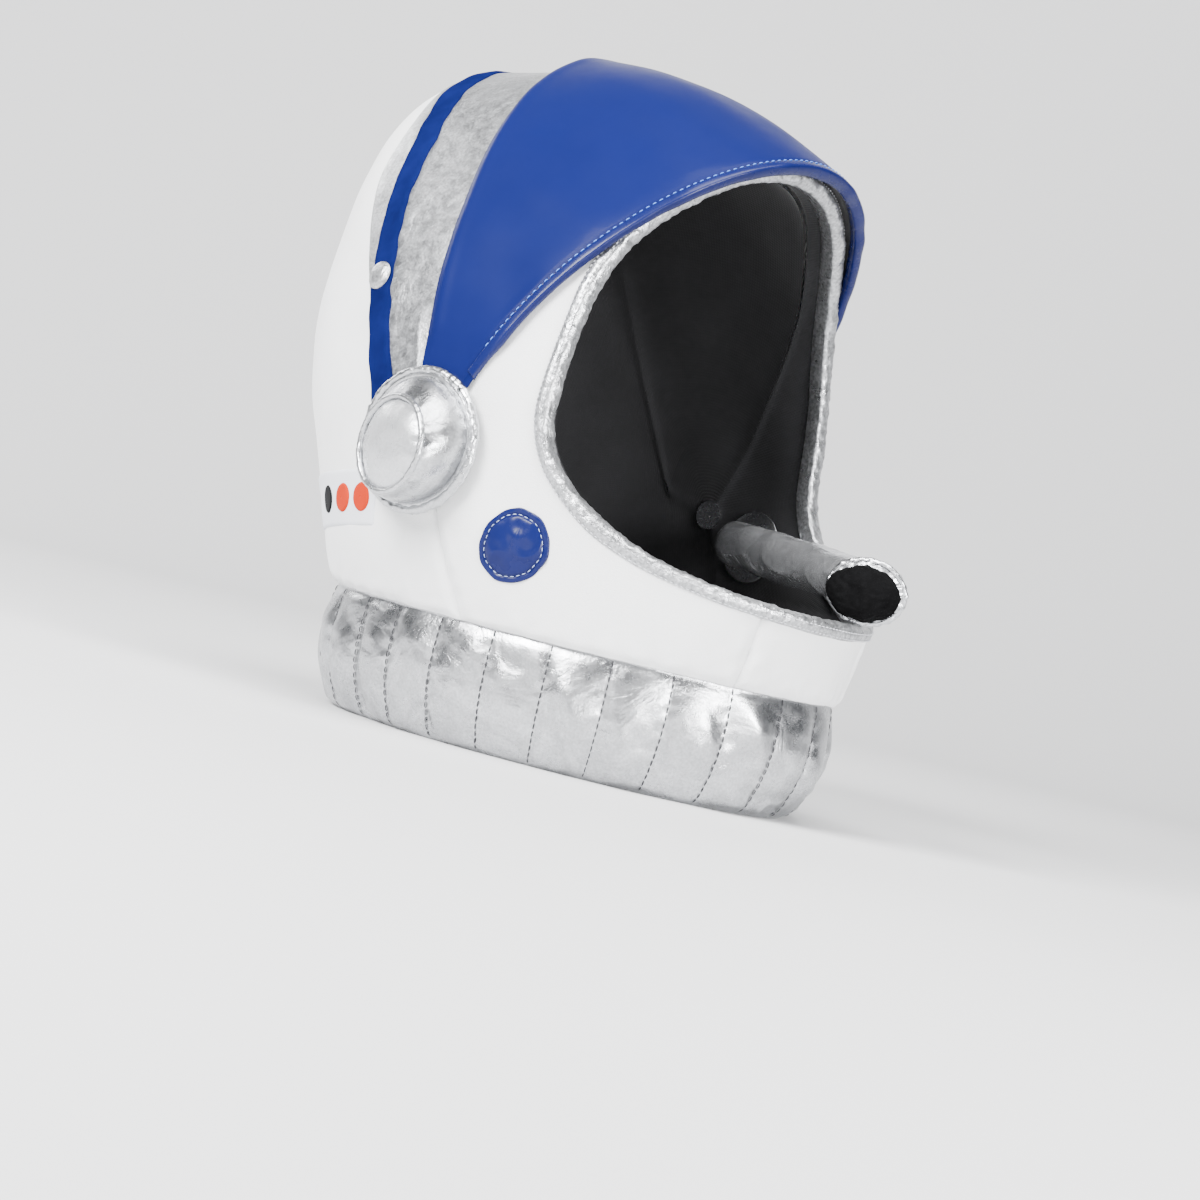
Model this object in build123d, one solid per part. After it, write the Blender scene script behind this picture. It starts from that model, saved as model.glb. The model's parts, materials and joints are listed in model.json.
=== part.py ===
from build123d import *
from math import atan2, cos, hypot, pi, radians, sin, tan
import os

# Soft astronaut costume helmet in a child's size. It stands on the bottom edge of its collar.
# Millimetres. The origin is the centre of the neck opening on the table, +Z is up, +X is the
# way the face looks and +Y is the wearer's left. Sizes called share are parts of other sizes.

# Hood form, measured from the ear pivots, which lie on one line along Y
PIVOT_BACK = 21.7
PIVOT_HEIGHT = 110.0
HOOD_HALF_WIDTH = 101.0
CROWN_RISE = 162.5
NECK_DROP = 146.0
BACK_REACH = 135.0
FACE_REACH = 137.0
TOP_SHARES = (-0.244, 1.0)
BACK_SHARES = ((-0.654, 0.957), (-0.899, 0.757), (-0.973, 0.449), (-0.891, 0.031),
               (-0.669, -0.411), (-0.373, -0.719))
FRONT_SHARES = ((0.54, 0.837), (0.934, 0.406), (1.0, -0.123), (0.92, -0.548), (0.715, -0.863))
BOTTOM_SHARES = (0.012, -1.0)
STATION_SHARES = (0.3, 0.55, 0.75, 0.88, 0.96)
END_SHARE = 0.995
ROUNDNESS = 2.0

# Hood wall, from the outside in
COVER = 1.5
FOAM = 6.5
LINING = 1.0

# Face opening: its edge in the side view, from above the forehead down and forward
OPENING_SHARES = ((0.596, 0.935), (0.407, 0.658), (0.341, 0.4), (0.348, 0.154),
                  (0.421, 0.0), (0.611, -0.13), (0.815, -0.192), (1.144, -0.226))
OPENING_TILT = 236.0
BINDING_WIDTH = 7.0
BINDING_THICK = 1.0

# Seams of the cover
SIDE_SEAM_FORWARD = 29.0
CHIN_SEAM_HALF = 36.0
CROWN_SEAM_TILT = 22.0

# Collar
COLLAR_HEIGHT = 47.0
COLLAR_TAPER = 8.5
COLLAR_SETBACK = 2.0
COLLAR_CHANNELS = 26
CHANNEL_PUFF = 2.6
EDGE_PUFF_SHARE = 0.35
EDGE_DRAW_SHARE = 0.16
QUILT = 1.5
BATTING = 5.5
COLLAR_LINING = 1.2

# Bands over the crown: middle line of the stripe and back edge of the silver, in the side view
BAND_THICK = 1.0
BAND_FRONT_TILT = 8.0
STRIPE_SHARES = ((-0.172, 0.036), (-0.374, 0.366), (-0.489, 0.634), (-0.578, 0.862), (-0.69, 1.15))
STRIPE_TILT = 119.0
STRIPE_WIDTH = 9.0
STRIPE_THICK = 0.8
BAND_BACK_SHARES = ((-0.18, 0.05), (-0.44, 0.357), (-0.57, 0.541), (-0.625, 0.708), (-0.672, 0.862),
                    (-0.785, 1.15))
BAND_BACK_TILT = 126.0
BAND_START = 31.0
STUD_RADIUS = 3.7
STUD_HEIGHT = 2.2

# Visor: clearance from the hood at the crown and at the ears, then its layers
VISOR_GAP = 3.5
VISOR_EAR_GAP = 1.6
VISOR_LINING = 0.8
VISOR_FOAM = 2.7
VISOR_COVER = 1.0
VISOR_EAR_LINING = 0.6
VISOR_EAR_FOAM = 0.8
VISOR_EAR_COVER = 0.8
VISOR_FRONT_SHARES = ((0.073, 0.049), (0.321, 0.517), (0.832, 1.108))
VISOR_FRONT_TILT = 74.0
VISOR_BACK_TILT = 12.0
VISOR_BACK_OFFSET = 3.0
VISOR_EAR_RADIUS = 12.0
VISOR_EDGE_WIDTH = 4.0
VISOR_EDGE_THICK = 0.6

# Ear pivot
RIVET_RADIUS = 3.0
RIVET_HEAD_RADIUS = 6.0
RIVET_HEAD = 1.5
RIVET_FIT = 0.05
GROMMET_WALL = 2.0
WASHER_RADIUS = 8.0
WASHER_THICK = 1.3
MOVING_GAP = 0.3

# Ear pods, clear of the ends of the visor that turn under them
POD_GAP = 0.6
FLANGE_RADIUS = 27.0
FLANGE_THICK = 2.0
FLANGE_PIPING = 1.8
DRUM_RADIUS = 23.5
DRUM_TOP_RADIUS = 18.5
DRUM_HEIGHT = 13.0
DRUM_PUFF = 2.0
DRUM_SKIN = 1.0
CAP_RISE = 4.0
CAP_PIPING = 1.3

# Patches sewn on the cover
PATCH_THICK = 0.9
CHEEK_PATCH_RADIUS = 14.5
CHEEK_PATCH_FORWARD = 48.0
CHEEK_PATCH_DROP = 30.5
REAR_PATCH_BACK = 21.0
REAR_PATCH_DROP = 25.0
REAR_PATCH_HEIGHT = 22.0
REAR_PATCH_TILT = 8.0
DOT_RADIUS = 5.7
DOT_THICK = 0.5
DOT_BACK = 30.0
DOT_STEP = 14.2

# Microphone
BOOM_RADIUS = 9.5
BOOM_SKIN = 0.8
WIRE_RADIUS = 1.2
ROOT_FORWARD = 26.0
ROOT_DROP = 9.0
ROOT_SIDE = 74.0
ROOT_STUB = 11.5
ROOT_PAD_RADIUS = 12.0
ROOT_BEND = 13.0
BOOM_BEND = 45.0
HEAD_BEND = 30.0
BOOM_MID_SHARES = ((0.595, 0.78, 0.81), (0.862, 0.88, 0.514))
HEAD_FORWARD = 134.5
HEAD_DROP = 15.0
HEAD_SIDE = 19.0
HEAD_TURN = 69.0
HEAD_DIP = 8.0
CUP_WIDTH = 15.5
CUP_TALL = 12.5
CUP_DEPTH = 15.0
CUP_SKIN = 1.2
CUP_BACK_SHARES = ((0.55, 0.0), (0.86, 0.28), (1.0, 0.72), (1.0, 1.0))
CUP_PIPING = 1.2
PAD_BULGE = 7.5
PAD_SHARES = ((0.97, 0.0), (0.93, 0.4), (0.7, 0.8), (0.34, 1.0))

OVERRUN = 60.0

pivot_x = -PIVOT_BACK
pivot_z = PIVOT_HEIGHT
wall = COVER + FOAM + LINING
far = HOOD_HALF_WIDTH + OVERRUN


def outline_point(share):
    """Point of the side view, from the pivot, for a pair of shares of the hood's reaches."""
    across = share[0] * (BACK_REACH if share[0] < 0 else FACE_REACH)
    rise = share[1] * (CROWN_RISE if share[1] > 0 else NECK_DROP)
    return (pivot_x + across, pivot_z + rise)


def tangent_chain(points, tilt, grow):
    """Arcs, as start, middle and end, through points that each leave the last one's direction.

    The chain starts at the angle tilt, in degrees, and is moved to its right by grow.
    """
    headings = [radians(tilt)]
    for start, end in zip(points[:-1], points[1:]):
        chord = atan2(end[1] - start[1], end[0] - start[0])
        bend = (chord - headings[-1] + pi) % (2 * pi) - pi
        headings.append(headings[-1] + 2 * bend)
    moved = [(p[0] + grow * sin(h), p[1] - grow * cos(h)) for p, h in zip(points, headings)]
    arcs = []
    for start, end, heading in zip(moved[:-1], moved[1:], headings[:-1]):
        run, rise = end[0] - start[0], end[1] - start[1]
        bend = (atan2(rise, run) - heading + pi) % (2 * pi) - pi
        bow = tan(bend / 2) / 2
        middle = ((start[0] + end[0]) / 2 + bow * rise, (start[1] + end[1]) / 2 - bow * run)
        arcs.append((start, middle, end))
    return arcs


def share_chain(shares, tilt, grow):
    """Chain of tangent arcs in the side view through points given as shares."""
    return tangent_chain([outline_point(s) for s in shares], tilt, grow)


def hood_outline(grow):
    """Closed chain of tangent arcs round the hood's middle section, grow outside the cover."""
    top, bottom = outline_point(TOP_SHARES), outline_point(BOTTOM_SHARES)
    back = [top] + [outline_point(s) for s in BACK_SHARES] + [bottom]
    front = [top] + [outline_point(s) for s in FRONT_SHARES] + [bottom]
    back_arcs = tangent_chain(back, 180, grow)
    front_arcs = [(end, middle, start) for start, middle, end in tangent_chain(front, 0, -grow)]
    front_arcs.reverse()
    front_arcs[0] = (back_arcs[-1][2], front_arcs[0][1], front_arcs[0][2])
    return back_arcs + front_arcs


def dome(grow, side_grow=None):
    """Solid of the hood's form: its middle outline drawn in towards the ears on either side."""
    half = HOOD_HALF_WIDTH + (grow if side_grow is None else side_grow)
    arcs = hood_outline(grow)
    outer_shares = STATION_SHARES + (END_SHARE,)
    stations = [-q for q in reversed(outer_shares)] + [0] + list(outer_shares)
    sections = []
    for q in stations:
        size = (1 - abs(q) ** ROUNDNESS) ** (1 / ROUNDNESS)
        edges = []
        for arc in arcs:
            places = [(pivot_x + size * (x - pivot_x), q * half, pivot_z + size * (z - pivot_z))
                      for x, z in arc]
            edges.append(ThreePointArc(*places))
        sections.append(Face(Wire(edges)))
    return loft(sections)


def ear_end(side_grow):
    """Height above the middle plane of the flat end of a dome with this side growth."""
    return END_SHARE * (HOOD_HALF_WIDTH + side_grow)


def side_prism(edges, low=-far, high=far):
    """Solid over a closed outline of the side view, from one height along Y to another."""
    face = Face(Wire(edges))
    if face.normal_at().Y < 0:
        face = -face
    return extrude(Pos(0, low, 0) * face, high - low, dir=(0, 1, 0))


def chain_prism(arcs, corners):
    """Prism over a chain of arcs in the side view, closed by lines through corners."""
    edges = [ThreePointArc(*[(x, 0, z) for x, z in arc]) for arc in arcs]
    places = [arcs[-1][2], *corners, arcs[0][0]]
    edges += [Line((a[0], 0, a[1]), (b[0], 0, b[1])) for a, b in zip(places[:-1], places[1:])]
    return side_prism(edges)


def side_polygon(points, low=-far, high=far):
    """Prism over straight lines between points of the side view."""
    places = [(x, 0, z) for x, z in points]
    return side_prism(Polyline(*places, close=True).edges(), low, high)


def leaning_edge(tilt, offset):
    """Point beside the pivot and upward direction of a line in the side view.

    The line leans forward by tilt degrees and passes in front of the pivot by offset.
    """
    rise = (sin(radians(tilt)), cos(radians(tilt)))
    foot = (pivot_x + offset * rise[1], pivot_z - offset * rise[0])
    return foot, rise


def along(edge, distance):
    """Point at a distance up a leaning edge."""
    foot, rise = edge
    return (foot[0] + distance * rise[0], foot[1] + distance * rise[1])


def ear_cylinder(radius, low, high, side):
    """Cylinder round the pivot line between two heights, on side 1 (left) or -1 (right)."""
    base = Plane(origin=(pivot_x, side * low, pivot_z), z_dir=(0, side, 0))
    return extrude(base * Circle(radius), high - low)


def ear_ring(outer, inner, low, high, side):
    """Ring round the pivot line between two heights."""
    return ear_cylinder(outer, low, high, side) - ear_cylinder(inner, low, high, side)


def named_side(side):
    """Word for a side of the wearer."""
    return "left" if side > 0 else "right"


# Solids that many pieces are cut from
reach = CROWN_RISE + OVERRUN
outer_form = dome(0)
foam_form = dome(-COVER)
lining_form = dome(-COVER - FOAM)
cavity_form = dome(-wall)
above_neck = Pos(pivot_x, 0, COLLAR_HEIGHT) * Box(
    2 * far, 2 * far, 2 * far, align=(Align.CENTER, Align.CENTER, Align.MIN))


def face_prism(grow):
    """Space in front of the face opening's edge, moved into the hood by grow."""
    arcs = share_chain(OPENING_SHARES, OPENING_TILT, grow)
    start, end = arcs[0][0], arcs[-1][2]
    ahead, over = end[0] + OVERRUN, start[1] + OVERRUN
    return chain_prism(arcs, [(ahead, end[1]), (ahead, over), (start[0], over)])


face_space = face_prism(0)
rivet_holes = [ear_cylinder(RIVET_RADIUS, 0, far, side) for side in (-1, 1)]


def hood_layer(outer, inner):
    """Layer of the hood wall with the face opening, the neck and the rivet holes cut."""
    return (outer - inner) & above_neck - face_space - rivet_holes


def behind_stripe(shares, tilt, grow):
    """Space behind and below a line that runs up over the crown, moved forward by grow."""
    arcs = share_chain(shares, tilt, grow)
    start, end = arcs[0][0], arcs[-1][2]
    behind, under = pivot_x - far, -OVERRUN
    return chain_prism(arcs, [(behind, end[1]), (behind, under), (start[0], under)])


def sewn_panels(layer):
    """A layer of the hood wall cut along the seams: crown, chin, cheeks and back."""
    pivot = (pivot_x, pivot_z)
    seam_foot = (pivot_x + SIDE_SEAM_FORWARD, COLLAR_HEIGHT)
    seam_low = (seam_foot[0], -OVERRUN)
    behind, ahead = pivot_x - far, pivot_x + far
    front_top = along(leaning_edge(CROWN_SEAM_TILT, 0), reach)
    below = side_polygon([pivot, seam_foot, seam_low, (behind, -OVERRUN), (behind, pivot_z)])
    above = side_polygon([pivot, (behind, pivot_z), (behind, front_top[1]), front_top])
    rear_of_stripe = behind_stripe(STRIPE_SHARES, STRIPE_TILT, 0)
    cheek_space = side_polygon([pivot, seam_foot, seam_low, (ahead, -OVERRUN),
                                (ahead, front_top[1]), front_top])
    chin_space = Pos(pivot_x + FACE_REACH / 2, 0, -OVERRUN) * Box(
        far, 2 * CHIN_SEAM_HALF, pivot_z + OVERRUN, align=(Align.MIN, Align.CENTER, Align.MIN))
    cheeks = layer & cheek_space
    back = (layer & below) + (layer & above & rear_of_stripe)
    panels = {"crown": (layer & above) - rear_of_stripe, "chin": cheeks & chin_space}
    cheeks -= chin_space
    for side in (-1, 1):
        half = Pos(0, side * far, 0) * Box(4 * far, 2 * far, 4 * far)
        panels["cheek_" + named_side(side)] = cheeks & half
        panels["back_" + named_side(side)] = back & half
    return panels


def make_wall():
    """Hood wall: white cover and foam cut to the same panels, and the black lining."""
    pieces = {"head_lining": hood_layer(lining_form, cavity_form)}
    for name, shape in sewn_panels(hood_layer(outer_form, foam_form)).items():
        pieces["cover_" + name] = shape
    for name, shape in sewn_panels(hood_layer(foam_form, lining_form)).items():
        pieces["foam_" + name] = shape
    return pieces


def make_binding():
    """Silver binding folded over the edge of the face opening."""
    strip = face_prism(BINDING_WIDTH) - face_prism(-BINDING_THICK)
    skin = (dome(BINDING_THICK) - dome(-wall - BINDING_THICK)) & strip
    return {"face_binding": skin - ((outer_form - cavity_form) - face_space)}


def make_bands():
    """Silver band over the crown behind the visor, with its blue stripe and round studs."""
    front_foot, front_top = [along(leaning_edge(-BAND_FRONT_TILT, 0), run) for run in (0, reach)]
    behind = pivot_x - far
    ahead_space = side_polygon([front_foot, front_top, (behind, front_top[1]), (behind, front_foot[1])])
    clear_of_ears = ear_cylinder(BAND_START, -far, far, 1)
    band_space = ahead_space - behind_stripe(BAND_BACK_SHARES, BAND_BACK_TILT, 0) - clear_of_ears
    stripe_back = behind_stripe(STRIPE_SHARES, STRIPE_TILT, -STRIPE_WIDTH / 2)
    stripe_space = behind_stripe(STRIPE_SHARES, STRIPE_TILT, STRIPE_WIDTH / 2) - stripe_back
    stripe_space = (stripe_space & ahead_space) - clear_of_ears
    band_form = dome(BAND_THICK)
    stripe_form = dome(BAND_THICK + STRIPE_THICK)
    band = (band_form - outer_form) & (band_space + stripe_space)
    stripe = (stripe_form - band_form) & stripe_space
    stud_at = outline_point(STRIPE_SHARES[1])
    studs = []
    for side in (-1, 1):
        base = Plane(origin=(stud_at[0], 0, stud_at[1]), z_dir=(0, side, 0))
        pin = extrude(base * Circle(STUD_RADIUS), far)
        studs.append(pin & (dome(BAND_THICK + STRIPE_THICK + STUD_HEIGHT) - stripe_form))
    return {"crown_band": band, "crown_stripe": stripe, "band_studs": studs}


def visor_space(grow):
    """Wedge of the side view that the visor fills, its front edge moved forward by grow."""
    front = share_chain(VISOR_FRONT_SHARES, VISOR_FRONT_TILT, grow)
    back = leaning_edge(-VISOR_BACK_TILT, VISOR_BACK_OFFSET)
    return chain_prism(front, [along(back, reach), along(back, 0)])


def make_visor():
    """Padded visor that turns about the ear rivets: cover, foam, lining and edge binding."""
    space = visor_space(0) + ear_cylinder(VISOR_EAR_RADIUS, -far, far, 1)
    levels = [(VISOR_GAP, VISOR_EAR_GAP)]
    for crown, ear in ((VISOR_LINING, VISOR_EAR_LINING), (VISOR_FOAM, VISOR_EAR_FOAM),
                       (VISOR_COVER, VISOR_EAR_COVER)):
        levels.append((levels[-1][0] + crown, levels[-1][1] + ear))
    forms = [dome(*level) for level in levels]
    hole = ear_cylinder(RIVET_RADIUS + RIVET_FIT + GROMMET_WALL, -far, far, 1)
    lining, foam, cover = [((big - small) & space) - hole for small, big in zip(forms, forms[1:])]
    strip = visor_space(VISOR_EDGE_THICK) - visor_space(-VISOR_EDGE_WIDTH)
    strip -= ear_cylinder(BAND_START, -far, far, 1)
    inner, outer = levels[0], levels[-1]
    skin = dome(outer[0] + VISOR_EDGE_THICK, outer[1] + VISOR_EDGE_THICK / 2)
    skin -= dome(inner[0] - VISOR_EDGE_THICK, inner[1] - VISOR_EDGE_THICK / 2)
    edge = (skin & strip) - ((forms[-1] - forms[0]) & space)
    pieces = {"visor_cover": cover, "visor_foam": foam, "visor_lining": lining,
              "visor_edge_binding": edge}
    grommets = []
    for side in (-1, 1):
        grommets.append(ear_ring(RIVET_RADIUS + RIVET_FIT + GROMMET_WALL, RIVET_RADIUS + RIVET_FIT,
                                 ear_end(inner[1]), ear_end(outer[1]), side))
    pieces["visor_grommets"] = grommets
    return pieces, outer


def make_pivot(side, visor_outer):
    """Rivet through hood, visor and pod flange, and the washer under the visor's end."""
    word = named_side(side)
    inside = ear_end(-wall)
    flange_top = ear_end(visor_outer[1] + POD_GAP + FLANGE_THICK)
    rivet = ear_cylinder(RIVET_RADIUS, inside, flange_top, side)
    rivet += ear_cylinder(RIVET_HEAD_RADIUS, inside - RIVET_HEAD, inside, side)
    rivet += ear_cylinder(RIVET_HEAD_RADIUS, flange_top, flange_top + RIVET_HEAD, side)
    washer = ear_ring(WASHER_RADIUS, RIVET_RADIUS, ear_end(0), ear_end(0) + WASHER_THICK, side)
    return {"pivot_rivet_" + word: rivet, "pivot_washer_" + word: washer}


def revolve_ear(edges, side):
    """Turn a closed outline, drawn as (radius, height) places, round the pivot line."""
    plane = Plane(origin=(pivot_x, 0, pivot_z), x_dir=(1, 0, 0), z_dir=(0, 0, side))
    face = plane * make_face(edges)
    return revolve(face, Axis((pivot_x, 0, pivot_z), (0, 1, 0)))


def make_pod(side, visor_outer):
    """Stuffed ear pod: dished flange, piping, drum, domed cap and the stuffing inside."""
    word = named_side(side)
    low = visor_outer[0] + POD_GAP, visor_outer[1] + POD_GAP
    high = low[0] + FLANGE_THICK, low[1] + FLANGE_THICK
    base = ear_end(high[1])
    low_form, high_form = dome(*low), dome(*high)
    piping_at = Plane(origin=(pivot_x, side * (base - FLANGE_THICK / 2), pivot_z), z_dir=(0, side, 0))
    piping = piping_at * Torus(FLANGE_RADIUS, FLANGE_PIPING)
    piping -= low_form
    flange = (high_form - low_form) & ear_cylinder(FLANGE_RADIUS, 0, far, side)
    flange = flange - piping - ear_cylinder(RIVET_RADIUS, 0, far, side)
    shoulder = base + DRUM_HEIGHT
    foot = base - FLANGE_THICK - FLANGE_PIPING
    slope_middle = ((DRUM_RADIUS + DRUM_TOP_RADIUS) / 2 + DRUM_PUFF, (base + shoulder) / 2)

    def drum_edges(inset):
        rim = (DRUM_TOP_RADIUS - inset, shoulder)
        start = (DRUM_RADIUS - inset, base)
        return Curve() + [
            Line((0, foot), (start[0], foot)), Line((start[0], foot), start),
            ThreePointArc(start, (slope_middle[0] - inset, slope_middle[1]), rim),
            Line(rim, (0, shoulder)), Line((0, shoulder), (0, foot))]

    def cap_edges(inset):
        rim = (DRUM_TOP_RADIUS - CAP_PIPING - inset, shoulder)
        peak = (0, shoulder + CAP_RISE - inset)
        lean = atan2(CAP_RISE - inset, rim[0])
        ball = rim[0] / sin(2 * lean)
        bow = (ball * sin(lean), peak[1] - ball * (1 - cos(lean)))
        return Curve() + [Line((0, shoulder), rim), ThreePointArc(rim, bow, peak), Line(peak, (0, shoulder))]

    ring_at = Plane(origin=(pivot_x, side * shoulder, pivot_z), z_dir=(0, side, 0))
    cap_piping = ring_at * Torus(DRUM_TOP_RADIUS, CAP_PIPING)
    inner_body = revolve_ear(drum_edges(DRUM_SKIN), side) + revolve_ear(cap_edges(DRUM_SKIN), side)
    drum = revolve_ear(drum_edges(0), side) - inner_body - cap_piping - high_form
    cap = revolve_ear(cap_edges(0), side) - revolve_ear(cap_edges(DRUM_SKIN), side)
    head = ear_cylinder(RIVET_HEAD_RADIUS, base, base + RIVET_HEAD, side)
    stuffing = inner_body - high_form - head - cap_piping
    return {"pod_flange_" + word: flange, "pod_flange_piping_" + word: piping,
            "pod_drum_" + word: drum, "pod_cap_" + word: cap,
            "pod_cap_piping_" + word: cap_piping, "pod_stuffing_" + word: stuffing}


def neck_half(grow):
    """Left half of a dome's outline where the collar is sewn on, from the front to the back."""
    cut = dome(grow) & (Pos(pivot_x, 0, COLLAR_HEIGHT) * Rectangle(4 * far, 4 * far))
    left = cut & (Pos(0, 2 * far, COLLAR_HEIGHT) * Rectangle(4 * far, 4 * far))
    return Wire(left.edges().sort_by(Axis.Y)[1:])


def spaced_round(half, count, start):
    """Places at even steps round a mirrored outline, the first one start steps from the front."""
    step = 2 * half.length / count
    front_first = (half @ 0).X > 0
    places = []
    for i in range(count):
        run = (i + start) * step
        side = 1 if run <= half.length else -1
        run = min(run, 2 * half.length - run)
        spot = half.position_at(run if front_first else half.length - run,
                                position_mode=PositionMode.LENGTH)
        places.append(Vector(spot.X, side * spot.Y, 0))
    return places


def make_collar():
    """Quilted collar: puffed channels round the neck outline, batting, and a lining."""
    half = neck_half(-COLLAR_SETBACK)
    count = COLLAR_CHANNELS
    seams = spaced_round(half, count, 0.5)
    crests = spaced_round(half, count, 1)

    def level(height_share, puff, inset):
        height = COLLAR_HEIGHT * height_share
        pull = COLLAR_TAPER * (1 - height_share) + inset

        def place(point, push):
            spot = point.normalized() * (point.length - pull + push)
            return (spot.X, spot.Y, height)

        starts = [place(p, 0) for p in seams]
        bulges = [place(p, puff) for p in crests]
        edges = [ThreePointArc(starts[i], bulges[i], starts[(i + 1) % count]) for i in range(count)]
        return Face(Wire(edges))

    edge_puff = CHANNEL_PUFF * EDGE_PUFF_SHARE
    quilted = loft([level(0, edge_puff, 0), level(EDGE_DRAW_SHARE, CHANNEL_PUFF, 0),
                    level(1 - EDGE_DRAW_SHARE, CHANNEL_PUFF, 0), level(1, edge_puff, 0)])
    plain = [loft([level(0, 0, inset), level(1, 0, inset)], ruled=True)
             for inset in (QUILT, QUILT + BATTING, QUILT + BATTING + COLLAR_LINING)]
    return {"collar_quilt": quilted - plain[0], "collar_batting": plain[0] - plain[1],
            "collar_lining": plain[1] - plain[2]}


def seat_on_cover(forward, rise, side):
    """Plane that lies on the cover in front of and above the pivot, on one side of the wearer."""
    ray = Axis((pivot_x + forward, 0, pivot_z + rise), (0, side, 0))
    spot, outward = outer_form.find_intersection_points(ray)[-1]
    return Plane(origin=spot, z_dir=outward)


def make_patches():
    """Round vinyl cheek patches, the pale patch behind the right ear and its coloured dots."""
    patch_form = dome(PATCH_THICK)
    dot_form = dome(PATCH_THICK + DOT_THICK)
    skin = patch_form - outer_form
    pieces = {}
    for side in (-1, 1):
        seat = seat_on_cover(CHEEK_PATCH_FORWARD, -CHEEK_PATCH_DROP, side)
        disc = extrude(seat * Circle(CHEEK_PATCH_RADIUS), CHEEK_PATCH_RADIUS / 2, both=True)
        pieces["cheek_patch_" + named_side(side)] = skin & disc
    lean = tan(radians(REAR_PATCH_TILT))
    start, end = pivot_x - REAR_PATCH_BACK, pivot_x - BACK_REACH - OVERRUN
    high = pivot_z - REAR_PATCH_DROP + REAR_PATCH_HEIGHT / 2
    low = high - REAR_PATCH_HEIGHT
    fall = lean * (start - end)
    strip = side_polygon([(start, high), (end, high - fall), (end, low - fall), (start, low)], -far, 0)
    dots = []
    for i in range(3):
        back = DOT_BACK + i * DOT_STEP
        seat = seat_on_cover(-back, -REAR_PATCH_DROP - lean * (back - REAR_PATCH_BACK), -1)
        disc = extrude(seat * Circle(DOT_RADIUS), DOT_RADIUS / 2, both=True)
        dots.append((dot_form - patch_form) & disc)
    pieces["rear_patch"] = skin & strip
    pieces["patch_dots_orange"] = dots[:2]
    pieces["patch_dot_black"] = dots[2]
    return pieces


def make_microphone():
    """Bendable stuffed boom, sewn inside the left cheek, with a cup and a soft black pad."""
    root = Vector(pivot_x + ROOT_FORWARD, ROOT_SIDE + ROOT_STUB, pivot_z - ROOT_DROP)
    elbow = Vector(root.X, ROOT_SIDE, root.Z)
    head = Vector(pivot_x + HEAD_FORWARD, HEAD_SIDE, pivot_z - HEAD_DROP)
    mids = [Vector(pivot_x + forward * HEAD_FORWARD, side * ROOT_SIDE, pivot_z - drop * HEAD_DROP)
            for forward, drop, side in BOOM_MID_SHARES]
    path = FilletPolyline(root, elbow, *mids, head, radius=[ROOT_BEND, BOOM_BEND, HEAD_BEND])
    start = Plane(origin=root, z_dir=path % 0)

    def tube(radius):
        return sweep(start * Circle(radius), path=path)

    turn = radians(HEAD_TURN)
    dip = radians(HEAD_DIP)
    facing = Vector(cos(turn) * cos(dip), -sin(turn) * cos(dip), -sin(dip))
    level = Vector(sin(turn), cos(turn), 0)
    seat = Plane(origin=head, x_dir=level, z_dir=facing)

    def oval(width, tall, height):
        return seat * Pos(0, 0, height) * Ellipse(width, tall)

    def cup_form(inset):
        sections = []
        for size, height in CUP_BACK_SHARES:
            z = (height - 1) * CUP_DEPTH / 2 + height * CUP_DEPTH / 2
            sections.append(oval(size * CUP_WIDTH - inset, size * CUP_TALL - inset, z))
        return loft(sections)

    rim_height = CUP_DEPTH / 2
    cup_outer = cup_form(0)
    cup_inner = cup_form(CUP_SKIN)
    rim = oval(CUP_WIDTH - CUP_SKIN / 2, CUP_TALL - CUP_SKIN / 2, rim_height).edges()[0]
    rim_start = Plane(origin=rim @ 0, z_dir=rim % 0)
    piping = sweep(rim_start * Circle(CUP_PIPING), path=rim)
    pad_width, pad_tall = CUP_WIDTH - CUP_SKIN - CUP_PIPING, CUP_TALL - CUP_SKIN - CUP_PIPING
    pad = loft([oval(size * pad_width, size * pad_tall, rim_height + height * PAD_BULGE)
                for size, height in PAD_SHARES])
    sleeve, stuffing, wire = tube(BOOM_RADIUS), tube(BOOM_RADIUS - BOOM_SKIN), tube(WIRE_RADIUS)
    filling = cup_inner - piping
    side_half = ear_cylinder(far, 0, far, 1)
    pad_low = ROOT_SIDE + ROOT_STUB + MOVING_GAP
    root_plane = Plane(origin=(root.X, pad_low, root.Z), z_dir=(0, 1, 0))
    root_pad = extrude(root_plane * Circle(ROOT_PAD_RADIUS), far) & cavity_form & side_half
    return {"mic_sleeve": sleeve - stuffing - cup_outer, "mic_stuffing": stuffing - wire - cup_outer,
            "mic_wire": wire - cup_outer, "mic_cup": cup_outer - cup_inner - piping,
            "mic_cup_filling": filling, "mic_cup_piping": piping, "mic_pad": pad - piping,
            "mic_root_pad": root_pad}


def collect():
    """Every piece by the name of its node."""
    pieces = {}
    pieces.update(make_wall())
    pieces.update(make_binding())
    pieces.update(make_bands())
    visor, visor_outer = make_visor()
    pieces.update(visor)
    for side in (-1, 1):
        pieces.update(make_pivot(side, visor_outer))
        pieces.update(make_pod(side, visor_outer))
    pieces.update(make_collar())
    pieces.update(make_patches())
    pieces.update(make_microphone())
    return pieces


def write(name, shape):
    """One STEP file for a node."""
    solids = [shape] if not isinstance(shape, list) else shape
    found = [solid for item in solids for solid in item.solids()]
    if not found:
        raise ValueError("no solid in " + name)
    export_step(found[0] if len(found) == 1 else Compound(children=found), "parts/" + name + ".step")


os.makedirs("parts", exist_ok=True)
for node, shape in collect().items():
    write(node, shape)
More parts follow.
